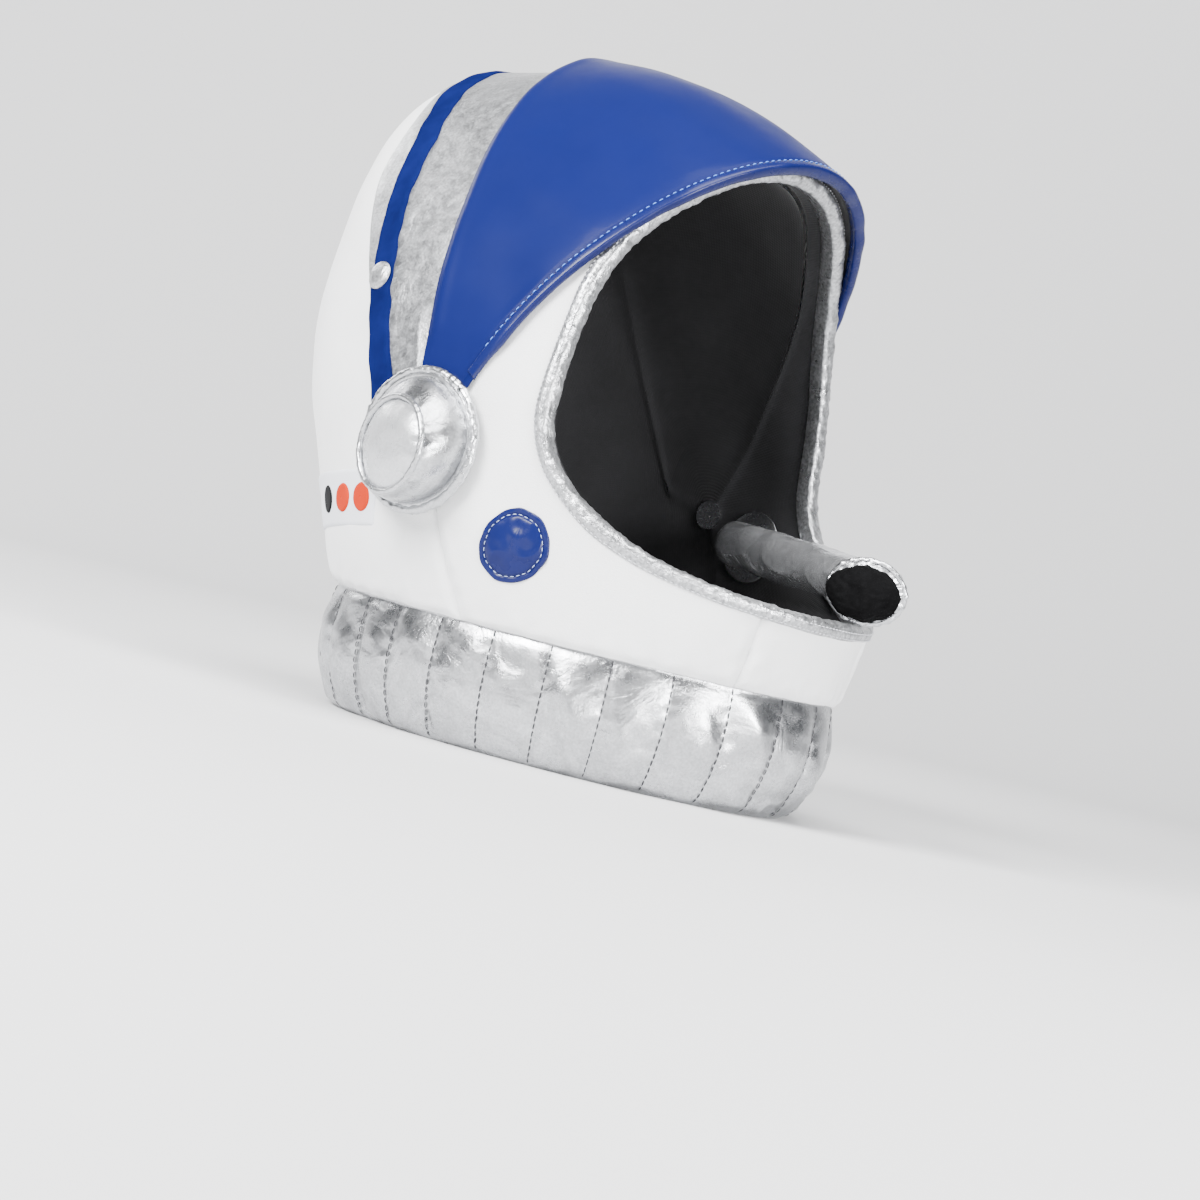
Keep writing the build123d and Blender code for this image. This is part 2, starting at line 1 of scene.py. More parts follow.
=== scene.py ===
"""Soft astronaut costume helmet: the sewn and stuffed surfaces, their cloths, the stage and the camera.

Metres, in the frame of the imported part: +Z up, +X the way the face looks, +Y the wearer's left.
"""
import json
import math

import bpy
import numpy as np
from bpy.props import FloatProperty, FloatVectorProperty, IntProperty, PointerProperty
from mathutils import Matrix, Vector

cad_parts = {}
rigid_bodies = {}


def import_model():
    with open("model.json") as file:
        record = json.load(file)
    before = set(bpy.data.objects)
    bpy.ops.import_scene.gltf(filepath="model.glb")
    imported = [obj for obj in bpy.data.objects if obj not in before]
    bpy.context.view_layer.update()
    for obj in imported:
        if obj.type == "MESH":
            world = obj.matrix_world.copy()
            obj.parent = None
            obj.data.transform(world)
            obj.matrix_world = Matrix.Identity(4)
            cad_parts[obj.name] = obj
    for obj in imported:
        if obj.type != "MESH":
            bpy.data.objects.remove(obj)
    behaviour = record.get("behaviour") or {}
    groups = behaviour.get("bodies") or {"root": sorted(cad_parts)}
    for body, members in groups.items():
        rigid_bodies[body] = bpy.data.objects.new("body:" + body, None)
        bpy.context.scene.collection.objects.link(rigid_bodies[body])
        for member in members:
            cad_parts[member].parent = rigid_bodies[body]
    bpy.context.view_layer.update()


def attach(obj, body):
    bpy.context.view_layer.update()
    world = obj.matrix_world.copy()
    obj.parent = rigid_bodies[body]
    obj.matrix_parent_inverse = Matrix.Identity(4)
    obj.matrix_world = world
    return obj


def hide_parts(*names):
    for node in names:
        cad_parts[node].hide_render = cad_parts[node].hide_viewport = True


bl_info = {
    "name": "Astronaut Costume Helmet",
    "version": (1, 0, 0),
    "blender": (4, 5, 0),
    "location": "3D View > Sidebar > Helmet",
    "description": "Sewn cover, visor, collar, ear pods and microphone of a soft costume helmet",
    "category": "Add Mesh",
}

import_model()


def length(name, default, description, low=0.0, high=1.0):
    """A length that shows in the sidebar, in metres."""
    return FloatProperty(name=name, default=default, description=description, min=low, max=high,
                         unit="LENGTH", precision=4)


def colour(name, default, description):
    """A linear colour."""
    return FloatVectorProperty(name=name, default=default, description=description, size=3,
                               min=0.0, max=1.0, subtype="COLOR")


class HELMET_PG_hood(bpy.types.PropertyGroup):
    """Form of the hood, measured from the line through both ear pivots."""
    pivot_back: length("Pivot back", 0.0217, "How far the ear pivots lie behind the origin")
    pivot_height: length("Pivot height", 0.110, "Height of the ear pivots above the collar's edge")
    half_width: length("Half width", 0.101, "From the middle plane to the cover at the ears")
    crown_rise: length("Crown rise", 0.1625, "From the pivots up to the crown")
    neck_drop: length("Neck drop", 0.146, "From the pivots down to where the form would close")
    back_reach: length("Back reach", 0.135, "From the pivots to the back of the head")
    face_reach: length("Face reach", 0.137, "From the pivots to the chin")
    wall: length("Wall", 0.009, "Cover, foam and lining together")
    seam_depth: length("Seam depth", 0.0016, "How far a sewn edge rolls in")
    seam_width: length("Seam width", 0.0022, "How wide a sewn edge rolls")
    softness: length("Softness", 0.0006, "Height of the broad unevenness of the foam")


class HELMET_PG_bindings(bpy.types.PropertyGroup):
    """Bound edges and bands of the hood."""
    binding_width: length("Binding width", 0.0044, "Width of the silver binding of the face opening")
    binding_inside: length("Binding inside", 0.0064, "Its width on the inner side")
    edge_wall: length("Edge wall", 0.0048, "Thickness of the wall where the binding presses it flat")
    edge_press: length("Edge press", 0.014, "How far from the edge the wall is pressed")
    band_thick: length("Band thickness", 0.001, "How far the silver band stands on the cover")
    stripe_width: length("Stripe width", 0.0118, "Width of the blue stripe")
    stripe_thick: length("Stripe thickness", 0.0008, "How far the stripe stands on the band")
    stud_radius: length("Stud radius", 0.0058, "Radius of the round studs on the stripe")
    patch_thick: length("Patch thickness", 0.0009, "How far a patch stands on the cover")
    cheek_patch_radius: length("Cheek patch radius", 0.0145, "Radius of the blue cheek patches")
    dot_radius: length("Dot radius", 0.0057, "Radius of the coloured dots")


class HELMET_PG_visor(bpy.types.PropertyGroup):
    """Padded visor."""
    gap: length("Crown gap", 0.0035, "Clearance between visor and hood at the crown")
    ear_gap: length("Ear gap", 0.0016, "Clearance between visor and hood at the ears")
    thick: length("Thickness", 0.0045, "Thickness at the crown")
    ear_thick: length("Ear thickness", 0.0022, "Thickness at the ears")
    hem: length("Hem", 0.0034, "Width of the sewn hem along the front edge")
    tuck: length("Tuck", 0.0006, "How much thinner its ends are pressed under the ear pods")


class HELMET_PG_collar(bpy.types.PropertyGroup):
    """Quilted neck collar."""
    height: length("Height", 0.047, "Height of the collar")
    taper: length("Taper", 0.0085, "How far its bottom edge lies inside its top edge")
    setback: length("Setback", 0.002, "How far it lies inside the cover where it is sewn on")
    channels: IntProperty(name="Channels", default=26, min=3, max=80,
                          description="Number of puffed channels round the neck")
    puff: length("Puff", 0.0024, "How far a channel stands out of its seams")
    bulge: length("Bulge", 0.0046, "How far the stuffed collar bellies out between its edges")


class HELMET_PG_pods(bpy.types.PropertyGroup):
    """Stuffed ear pods and the microphone."""
    flange_radius: length("Flange radius", 0.027, "Radius of the flat ring")
    drum_radius: length("Drum radius", 0.0235, "Radius of the drum at its foot")
    drum_top_radius: length("Drum top radius", 0.0185, "Radius of the drum under its cap")
    drum_height: length("Drum height", 0.013, "Height of the drum")
    cap_rise: length("Cap rise", 0.004, "How far the cap domes up")
    cap_turn: length("Cap turn", 0.0044, "How far the cap's front rim stands out and its back rim in")
    cap_sag: length("Cap sag", 0.0040, "How far the cap hangs below the pivots")
    boom_radius: length("Boom radius", 0.0095, "Radius of the stuffed microphone boom")
    crinkle: length("Crinkle", 0.0004, "Height of the crinkles of the silver cloth")


class HELMET_PG_cloths(bpy.types.PropertyGroup):
    """Colours of the cloths."""
    velour: colour("Velour", (0.86, 0.865, 0.87), "White brushed cover")
    silver: colour("Silver", (0.66, 0.67, 0.69), "Metallic cloth")
    blue: colour("Blue", (0.0058, 0.0096, 0.070), "Coated blue vinyl")
    lining: colour("Lining", (0.012, 0.012, 0.014), "Black lining")
    patch: colour("Pale patch", (0.72, 0.74, 0.79), "Smooth cloth behind the dots")
    orange: colour("Orange", (0.44, 0.026, 0.005), "Orange dots")
    thread: colour("Thread", (0.34, 0.42, 0.66), "Pale sewing thread")


GROUPS = {"hood": HELMET_PG_hood, "bindings": HELMET_PG_bindings, "visor": HELMET_PG_visor,
          "collar": HELMET_PG_collar, "pods": HELMET_PG_pods, "cloths": HELMET_PG_cloths}

# Places in the side view from the pivots, as shares of the hood's reaches
TOP_SHARES = (-0.244, 1.0)
BACK_SHARES = ((-0.654, 0.957), (-0.899, 0.757), (-0.973, 0.449), (-0.891, 0.031),
               (-0.669, -0.411), (-0.373, -0.719))
FRONT_SHARES = ((0.54, 0.837), (0.934, 0.406), (1.0, -0.123), (0.92, -0.548), (0.715, -0.863))
BOTTOM_SHARES = (0.012, -1.0)
OPENING_SHARES = ((0.596, 0.935), (0.407, 0.658), (0.341, 0.4), (0.348, 0.154),
                  (0.421, 0.0), (0.611, -0.13), (0.815, -0.192), (1.144, -0.226))
OPENING_TILT = 236.0
STRIPE_SHARES = ((-0.172, 0.036), (-0.363, 0.366), (-0.463, 0.634), (-0.563, 0.862), (-0.68, 1.15))
STRIPE_TILT = 120.0
BAND_BACK_SHARES = ((-0.18, 0.05), (-0.44, 0.357), (-0.57, 0.541), (-0.625, 0.708), (-0.672, 0.862),
                    (-0.785, 1.15))
BAND_BACK_TILT = 126.0
BAND_FRONT_TILT = -8.0
VISOR_FRONT_SHARES = ((0.073, 0.049), (0.321, 0.517), (0.832, 1.108))
VISOR_FRONT_TILT = 74.0
VISOR_BACK_TILT = -12.0
VISOR_BACK_OFFSET = -0.003
SIDE_SEAM_FORWARD = 0.029
CHIN_SEAM_HALF = 0.036
CROWN_SEAM_TILT = 22.0
RIM = math.pi / 2

# How finely the hood's form is worked out, and the smallest angle and area that count
FORM_STEPS = 1441
TINY_ANGLE = 1e-9
TINY_AREA = 1e-12


def prop(group):
    """The scene's settings of one group."""
    return getattr(bpy.context.scene, "helmet_" + group)


# The hood's form


def chain(points, tilt, grow=0.0, steps=40):
    """Smooth line through points, moved to the right of its way by grow.

    Each piece is an arc that leaves in the last one's direction: with chord c, first heading h and
    half turn b, the place at part f of it is the start plus c sin(b f) / sin(b) at heading h + b f.
    """
    p = np.asarray(points, float)
    heads = [math.radians(tilt)]
    for a, b in zip(p[:-1], p[1:]):
        chord = math.atan2(b[1] - a[1], b[0] - a[0])
        bend = (chord - heads[-1] + math.pi) % (2 * math.pi) - math.pi
        heads.append(heads[-1] + 2 * bend)
    heads = np.array(heads)
    p = p + grow * np.stack([np.sin(heads), -np.cos(heads)], 1)
    f = np.linspace(0, 1, steps + 1)[None, :-1]
    d = p[1:] - p[:-1]
    bend = (np.arctan2(d[:, 1], d[:, 0]) - heads[:-1] + math.pi) % (2 * math.pi) - math.pi
    bend = np.where(np.abs(bend) < TINY_ANGLE, TINY_ANGLE, bend)[:, None]
    run = np.hypot(d[:, 0], d[:, 1])[:, None] * np.sin(bend * f) / np.sin(bend)
    way = heads[:-1, None] + bend * f
    line = p[:-1, None] + run[..., None] * np.stack([np.cos(way), np.sin(way)], -1)
    return np.concatenate([line.reshape(-1, 2), p[-1:]])


def side_points(shares):
    """Places in the side view, from the pivots, in metres."""
    h = prop("hood")
    s = np.asarray(shares, float)
    across = np.where(s[..., 0] < 0, h.back_reach, h.face_reach)
    up = np.where(s[..., 1] > 0, h.crown_rise, h.neck_drop)
    return np.stack([s[..., 0] * across, s[..., 1] * up], -1)


class Form:
    """Surface of the hood's family, grow outside the cover and side grow outside it at the ears.

    In the direction t of the side view the middle outline lies at the radius R(t). At the angle a
    from an ear pole the surface is at R(t) sin a in that direction and at W cos a to the side.
    """
    made = {}

    def __init__(self, grow, ear):
        back = side_points([TOP_SHARES, *BACK_SHARES, BOTTOM_SHARES])
        front = side_points([TOP_SHARES, *FRONT_SHARES, BOTTOM_SHARES])
        line = np.concatenate([chain(back, 180, grow), chain(front, 0, -grow)])
        angle = np.arctan2(line[:, 1], line[:, 0])
        order = np.argsort(angle)
        self.t = np.linspace(-math.pi, math.pi, FORM_STEPS)
        self.r = np.interp(self.t, angle[order], np.hypot(*line.T)[order], period=2 * math.pi)
        self.slope = np.gradient(self.r, self.t)
        self.half = prop("hood").half_width + ear

    @classmethod
    def get(cls, grow=0.0, ear=None):
        """The form with this growth, made once."""
        key = (round(grow, 6), round(grow if ear is None else ear, 6))
        if key not in cls.made:
            cls.made[key] = cls(*key)
        return cls.made[key]

    def flat(self, line):
        """Side-view places as places on the disc whose middle is the ear and whose rim is the
        middle plane: the distance from the middle is the angle from the ear pole."""
        t = np.arctan2(line[..., 1], line[..., 0])
        reach = np.hypot(line[..., 0], line[..., 1]) / np.interp(t, self.t, self.r)
        a = np.arcsin(np.clip(reach, 0, 1))
        return np.stack([a * np.cos(t), a * np.sin(t)], -1), reach

    def cut(self, line):
        """The part of a side-view line inside the outline, on the disc, cut where it crosses."""
        _, reach = self.flat(line)
        inside = np.flatnonzero(reach < 1)
        first, last = inside[0], inside[-1]
        parts = []
        if first > 0:
            k = (1 - reach[first]) / (reach[first - 1] - reach[first])
            parts.append(line[first:first + 1] + k * (line[first - 1] - line[first]))
        parts.append(line[first:last + 1])
        if last < len(line) - 1:
            k = (1 - reach[last]) / (reach[last + 1] - reach[last])
            parts.append(line[last:last + 1] + k * (line[last + 1] - line[last]))
        flat, _ = self.flat(np.concatenate(parts))
        if first > 0:
            flat[0] *= RIM / np.hypot(*flat[0])
        if last < len(line) - 1:
            flat[-1] *= RIM / np.hypot(*flat[-1])
        return flat

    def place(self, flat, side):
        """Points and outward normals at places of the disc."""
        h = prop("hood")
        a = np.hypot(flat[..., 0], flat[..., 1])
        t = np.arctan2(flat[..., 1], flat[..., 0])
        r, slope = np.interp(t, self.t, self.r), np.interp(t, self.t, self.slope)
        rho = r * np.sin(a)
        y = side * self.half * np.cos(a)
        out, turn = rho / r ** 2, -rho * slope / r ** 3
        n = np.stack([out * np.cos(t) - turn * np.sin(t), y / self.half ** 2,
                      out * np.sin(t) + turn * np.cos(t)], -1)
        p = np.stack([rho * np.cos(t) - h.pivot_back, y, rho * np.sin(t) + h.pivot_height], -1)
        return p, unit(n)


def flat_arc(start, end, count):
    """Middle plane between two angles of the side view, on the disc."""
    t = np.linspace(start, end, count)
    return RIM * np.stack([np.cos(t), np.sin(t)], -1)


def run_of(line):
    """Distance along a line up to each of its points."""
    return np.concatenate([[0], np.cumsum(np.linalg.norm(np.diff(line, axis=0), axis=1))])


def along(line, run, s):
    """Places of a line, or values kept at its points, at the distances s along it."""
    return np.stack([np.interp(s, run, line[:, k]) for k in range(line.shape[1])], -1)


def spread(line, count):
    """A line's places at even steps along it."""
    run = run_of(line)
    return along(line, run, np.linspace(0, run[-1], count))


def unit(v):
    """Vectors brought to length one."""
    return v / np.linalg.norm(v, axis=-1, keepdims=True)


def around(count):
    """Angles at even steps round a circle, its start not repeated."""
    return np.arange(count) / count * 2 * math.pi


def ruled(first, last, rows):
    """Grid of places between two lines, row by row."""
    v = np.linspace(0, 1, rows)[:, None, None]
    return first[None] * (1 - v) + last[None] * v


def coons(bottom, top, left, right):
    """Grid inside four lines: both ruled grids added, less the grid of the four corners."""
    u = np.linspace(0, 1, len(bottom))[None, :, None]
    v = np.linspace(0, 1, len(left))[:, None, None]
    across = left[:, None] * (1 - u) + right[:, None] * u
    up = bottom[None] * (1 - v) + top[None] * v
    corners = ((1 - u) * (1 - v) * bottom[0] + u * (1 - v) * bottom[-1]
               + (1 - u) * v * top[0] + u * v * top[-1])
    return across + up - corners


def lean_line(tilt, offset, reach=0.3, steps=160):
    """Straight line up from the pivots that leans forward by tilt, offset in front of them."""
    rise = np.array([math.sin(math.radians(tilt)), math.cos(math.radians(tilt))])
    foot = offset * np.array([rise[1], -rise[0]])
    return foot + np.linspace(0, reach, steps)[:, None] * rise


def neck_line(form, start, end, steps=160):
    """Where the form crosses the height of the collar's top, between two side-view x places."""
    drop = prop("collar").height - prop("hood").pivot_height
    line = np.stack([np.linspace(start, end, steps), np.full(steps, drop)], -1)
    return form.cut(line)


# Soft unevenness


# Unevenness of each piece: rows of height, length of the waves and seed. The foam's heights are
# shares of the hood's softness.
RIPPLES = {
    "foam": ((0.7, 0.06, 3), (0.25, 0.025, 8)),
    "pucker": ((0.00028, 0.009, 5),),
    "lining": ((0.0005, 0.045, 11),),
    "binding": ((0.00018, 0.010, 21), (0.00016, 0.004, 22)),
    "band": ((0.00022, 0.022, 31),),
    "stripe way": ((0.00030, 0.016, 35), (0.0001, 0.008, 36)),
    "stripe": ((0.00012, 0.012, 37),),
    "cheek disc": ((0.00012, 0.006, 41), (0.00025, 0.013, 43)),
    "rear patch": ((0.00015, 0.02, 51),),
    "visor": ((0.00045, 0.070, 61), (0.00022, 0.026, 62)),
    "visor edge": ((0.00018, 0.014, 63),),
    "pod flange": ((0.00015, 0.012, 71),),
    "pod drum": ((0.0005, 0.022, 74),),
    "pod cap": ((0.0003, 0.018, 77),),
    "flange piping": ((0.00016, 0.006, 79), (0.00016, 0.0024, 80)),
    "cap piping": ((0.00008, 0.006, 79), (0.00008, 0.0024, 80)),
    "collar": ((0.0010, 0.034, 81),),
    "collar cloth": ((0.00012, 0.010, 82),),
    "collar lining": ((0.00045, 0.03, 83),),
    "boom": ((0.0004, 0.02, 92),),
    "cup": ((0.0004, 0.018, 94),),
    "cup piping": ((0.00018, 0.006, 95), (0.00016, 0.0025, 96)),
    "pad": ((0.0003, 0.008, 97), (0.00014, 0.003, 98)),
}

# Sharp creases of each piece in the same way. The pods' heights are shares of their crinkle. The
# mean is what is taken off them, and a wave's length is its size times a value in the spread.
CREASES = {
    "binding": (0.00030, 0.007, 23),
    "band": (0.0009, 0.024, 33),
    "cheek disc": (0.0003, 0.016, 45),
    "pod drum": (0.8, 0.030, 73),
    "pod cap": (0.4, 0.026, 75),
    "collar": (0.0005, 0.040, 84),
    "collar foot": (0.0011, 0.022, 83),
    "boom": (0.0006, 0.020, 91),
    "cup": (0.0006, 0.011, 93),
}
CREASE_MEAN = 0.35
WAVE_SPREAD = (0.7, 1.4)


def waves(points, size, seed, turns=10):
    """Smooth unevenness about zero: the mean of sines that run in many ways, size metres long."""
    rng = np.random.default_rng(seed)
    way = rng.normal(size=(turns, 3))
    way /= np.linalg.norm(way, axis=1, keepdims=True)
    rate = 2 * math.pi / (size * rng.uniform(*WAVE_SPREAD, turns))
    phase = rng.uniform(0, 2 * math.pi, turns)
    total = np.zeros(points.shape[:-1])
    for k in range(turns):
        total += np.sin(points @ way[k] * rate[k] + phase[k])
    return total / math.sqrt(turns)


def ripples(points, piece, turn=0):
    """Unevenness of a piece: the sum of its waves, with turn added to their seeds."""
    return sum(height * waves(points, size, seed + turn) for height, size, seed in RIPPLES[piece])


def creases(points, piece, turn=0, mean=CREASE_MEAN):
    """Creases of a piece about zero: one less the height of waves without their sign, squared."""
    height, size, seed = CREASES[piece]
    sharp = (1 - np.minimum(1, np.abs(waves(points, size, seed + turn)))) ** 2
    return height * (sharp - mean)


def grid_runs(grid):
    """Distance run down and across a grid up to each of its points."""
    rows, cols, _ = grid.shape
    down = np.cumsum(np.linalg.norm(np.diff(grid, axis=0), axis=-1), 0)
    over = np.cumsum(np.linalg.norm(np.diff(grid, axis=1), axis=-1), 1)
    return np.concatenate([np.zeros((1, cols)), down]), np.concatenate([np.zeros((rows, 1)), over], 1)


def edge_distance(grid, sides):
    """Distance along the grid from each point to the nearest of the named sides of the grid.

    Sides are numbered 0 for the first row, 1 for the last, 2 for the first column, 3 for the last.
    """
    down, over = grid_runs(grid)
    ways = (down, down[-1:] - down, over, over[:, -1:] - over)
    return np.min([ways[number] for number in sides], axis=0)


def fall(distance, width, power=2):
    """From 1 at an edge towards 0 past it: e to less the distance in widths to a power."""
    return np.exp(-(distance / width) ** power)


def smooth(x):
    """From 0 to 1 with level ends: three times the square less twice the cube."""
    x = np.clip(x, 0, 1)
    return x * x * (3 - 2 * x)


# Meshes


def quads(rows, cols, start=0, closed=False, flip=False):
    """Faces of a grid; closed joins its last column to its first."""
    across = cols if closed else cols - 1
    i, j = np.meshgrid(np.arange(rows - 1), np.arange(across), indexing="ij")
    k = (j + 1) % cols
    face = np.stack([i * cols + j, i * cols + k, (i + 1) * cols + k, (i + 1) * cols + j], -1)
    face = face.reshape(-1, 4) + start
    return face[:, ::-1] if flip else face


def put(name, verts, faces, uv=None):
    """A smooth object from its places, faces and cloth coordinates."""
    mesh = bpy.data.meshes.new(name)
    mesh.from_pydata(np.asarray(verts, float).reshape(-1, 3), [], faces)
    mesh.polygons.foreach_set("use_smooth", np.ones(len(mesh.polygons), bool))
    if uv is not None:
        layer = mesh.uv_layers.new(name="cloth")
        corner = np.zeros(len(mesh.loops), np.int32)
        mesh.loops.foreach_get("vertex_index", corner)
        layer.data.foreach_set("uv", np.asarray(uv, np.float32).reshape(-1, 2)[corner].ravel())
    mesh.update()
    obj = bpy.data.objects.new(name, mesh)
    bpy.context.scene.collection.objects.link(obj)
    return obj


def joined(parts):
    """Several meshes as one: their places, and their faces numbered on from part to part."""
    starts = np.cumsum([0] + [len(verts) for verts, _ in parts])
    faces = [these + start for (_, these), start in zip(parts, starts)]
    return np.concatenate([verts for verts, _ in parts]), np.concatenate(faces)


def along_grid(p):
    """Run along and across the grid in metres, for the weave."""
    v, u = grid_runs(p)
    u = np.broadcast_to(u.mean(0), u.shape)
    v = np.broadcast_to(v.mean(1)[:, None], v.shape)
    return np.stack([u, v], -1)


def outward(p, n):
    """True if a grid's own face normals agree with n."""
    a = p[1:-1, 2:] - p[1:-1, :-2]
    b = p[2:, 1:-1] - p[:-2, 1:-1]
    return float((np.cross(a, b) * n[1:-1, 1:-1]).sum()) > 0


def shell(name, p, n, thick, closed=False):
    """Sheet of cloth with two sides: the grid, the same grid thick further in, and its rim."""
    rows, cols, _ = p.shape
    flip = not outward(p, n)
    size = rows * cols
    faces = [quads(rows, cols, 0, closed, flip), quads(rows, cols, size, closed, not flip)]
    ring = [np.arange(cols), np.arange(cols) + (rows - 1) * cols]
    if not closed:
        ring += [np.arange(rows) * cols, np.arange(rows) * cols + cols - 1]
    for number, line in enumerate(ring):
        after = np.roll(line, -1) if closed else line[1:]
        here = line if closed else line[:-1]
        rim = np.stack([here, after, after + size, here + size], -1)
        faces.append(rim[:, ::-1] if (number in (0, 3)) != flip else rim)
    uv = along_grid(p).reshape(-1, 2)
    sides = np.concatenate([p.reshape(-1, 3), (p - n * thick).reshape(-1, 3)])
    return put(name, sides, np.concatenate(faces), np.concatenate([uv, uv]))


def end_fan(middle, ring, last, flip):
    """Triangles from the point in the middle of a tube's first or last ring to its sides."""
    after = np.roll(ring, -1)
    sides = (ring, after) if last else (after, ring)
    fan = np.stack([np.full(len(ring), middle), *sides], -1)
    return (fan[:, ::-1] if flip else fan).tolist()


def tube_mesh(name, rings):
    """Skin over closed rings, with a point in the middle of both ends."""
    rows, cols, _ = rings.shape
    middle = rings.mean(1)
    spokes = rings[0] - middle[0]
    turn = np.cross(spokes, np.roll(rings[0], -1, 0) - rings[0]).sum(0) @ (middle[1] - middle[0])
    flip = turn < 0
    size = rows * cols
    faces = quads(rows, cols, 0, True, flip).tolist()
    faces += end_fan(size, np.arange(cols), False, flip)
    faces += end_fan(size + 1, np.arange(size - cols, size), True, flip)
    verts = np.concatenate([rings.reshape(-1, 3), middle[:1], middle[-1:]])
    uv = np.concatenate([along_grid(rings).reshape(-1, 2), np.zeros((2, 2))])
    return put(name, verts, faces, uv)


def grid_normals(p, closed=False):
    """Unit normals of a grid: its step across crossed with its step down. Closed joins its last
    column to its first."""
    over = np.roll(p, -1, 1) - np.roll(p, 1, 1) if closed else np.gradient(p, axis=1)
    n = np.cross(over, np.gradient(p, axis=0))
    return n / np.maximum(np.linalg.norm(n, axis=-1, keepdims=True), TINY_AREA)


def turned_out(n, part, way):
    """Normals, all turned round if a part of them points against a way."""
    return -n if float((part * way).sum()) < 0 else n


# A stitch along its length, its sides, how far it rises, sinks and how thin its ends are, as
# shares of its thread's radius
STITCH_SHARES = np.array([0.0, 0.18, 0.5, 0.82, 1.0])
STITCH_SIDES = 6
STITCH_RISE_SHARE = 1.3
STITCH_SINK_SHARE = 0.6
STITCH_END_SHARE = 0.35


def thread_bars(line, normal, pitch, part, radius, bury, full=True):
    """Places and faces of stitches along a line: short bars with round backs, pressed in by bury.

    Each bar is a ring carried along its stitch, its radius the root of one less the square of the
    part run, so that it dips into the cloth at both ends. A full one keeps its width where the
    normal leans along the line; any other gets narrower there.
    """
    run = run_of(line)
    count = max(2, int(run[-1] / pitch))
    starts = (np.arange(count) + (1 - part) / 2) * run[-1] / count
    s = starts[:, None] + STITCH_SHARES[None] * run[-1] / count * part
    centre, up = along(line, run, s), unit(along(normal, run, s))
    way = unit(centre[:, -1:] - centre[:, :1])
    side = unit(np.cross(up, way)) if full else np.cross(up, way)
    arch = np.sqrt(np.maximum(0, 1 - (2 * STITCH_SHARES - 1) ** 2))
    lift = arch * radius * STITCH_RISE_SHARE - bury - radius * STITCH_SINK_SHARE
    centre = centre + up * lift[None, :, None]
    t = around(STITCH_SIDES)
    size = radius * (STITCH_END_SHARE + (1 - STITCH_END_SHARE) * arch)[None, :, None, None]
    ring = (centre[:, :, None] + size * (np.cos(t)[None, None, :, None] * side[:, :, None]
                                         + np.sin(t)[None, None, :, None] * up[:, :, None]))
    rows = len(STITCH_SHARES)
    ends = np.array([[0, 1, 2, 3], [0, 3, 4, 5]])
    ends = np.concatenate([ends[:, ::-1], ends + (rows - 1) * STITCH_SIDES])
    starts = (np.arange(count) * rows * STITCH_SIDES)[:, None, None]
    faces = [(one[None] + starts).reshape(-1, 4) for one in (quads(rows, STITCH_SIDES, 0, True), ends)]
    return ring.reshape(-1, 3), np.concatenate(faces)


def stitches(name, line, normal, pitch=0.0026, part=0.62, radius=0.00028, bury=0.00005):
    """Object of the stitches along a line; part is how much of each pitch is thread."""
    return put(name, *thread_bars(line, normal, pitch, part, radius, bury, full=False))


# Cloths


def group(name, inputs, outputs):
    """An empty shader node group with named sockets, and its two ends."""
    tree = bpy.data.node_groups.new(name, "ShaderNodeTree")
    for label, kind, default in inputs:
        socket = tree.interface.new_socket(label, in_out="INPUT", socket_type=kind)
        if default is not None:
            socket.default_value = default
    for label in outputs:
        tree.interface.new_socket(label, in_out="OUTPUT", socket_type="NodeSocketFloat")
    return tree, tree.nodes.new("NodeGroupInput").outputs, tree.nodes.new("NodeGroupOutput").inputs


def feed(tree, socket, value):
    """Links another node's socket to this one, or gives it a fixed value."""
    if isinstance(value, bpy.types.NodeSocket):
        tree.links.new(value, socket)
    else:
        socket.default_value = value


def node(tree, kind, **values):
    """A node with its properties and inputs set by name."""
    made = tree.nodes.new(kind)
    for key, value in values.items():
        if hasattr(made, key):
            setattr(made, key, value)
        else:
            feed(tree, made.inputs[key.replace("_", " ")], value)
    return made


def sum_node(tree, operation, *values):
    """Result of a maths node."""
    made = node(tree, "ShaderNodeMath", operation=operation)
    for socket, value in zip(made.inputs, values):
        feed(tree, socket, value)
    return made.outputs[0]


def multiplied(tree, first, second):
    """Colour of two colours multiplied."""
    made = node(tree, "ShaderNodeMix", data_type="RGBA", blend_type="MULTIPLY", Factor=1.0)
    for socket, value in zip((made.inputs[6], made.inputs[7]), (first, second)):
        feed(tree, socket, value)
    return made.outputs[2]


def effect(tree, name, **values):
    """A shader group placed in a material with its own values; the group is built when it is new."""
    made = bpy.data.node_groups.get(name) or EFFECTS[name]()
    return node(tree, "ShaderNodeGroup", node_tree=made, **values).outputs


# Crinkled cloth: how much finer and lower the small crinkles are, and how wide a crease is
SMALL_CRINKLE_SHARES = (4.3, 0.25)
CREASE_WIDTH_SHARE = 0.16


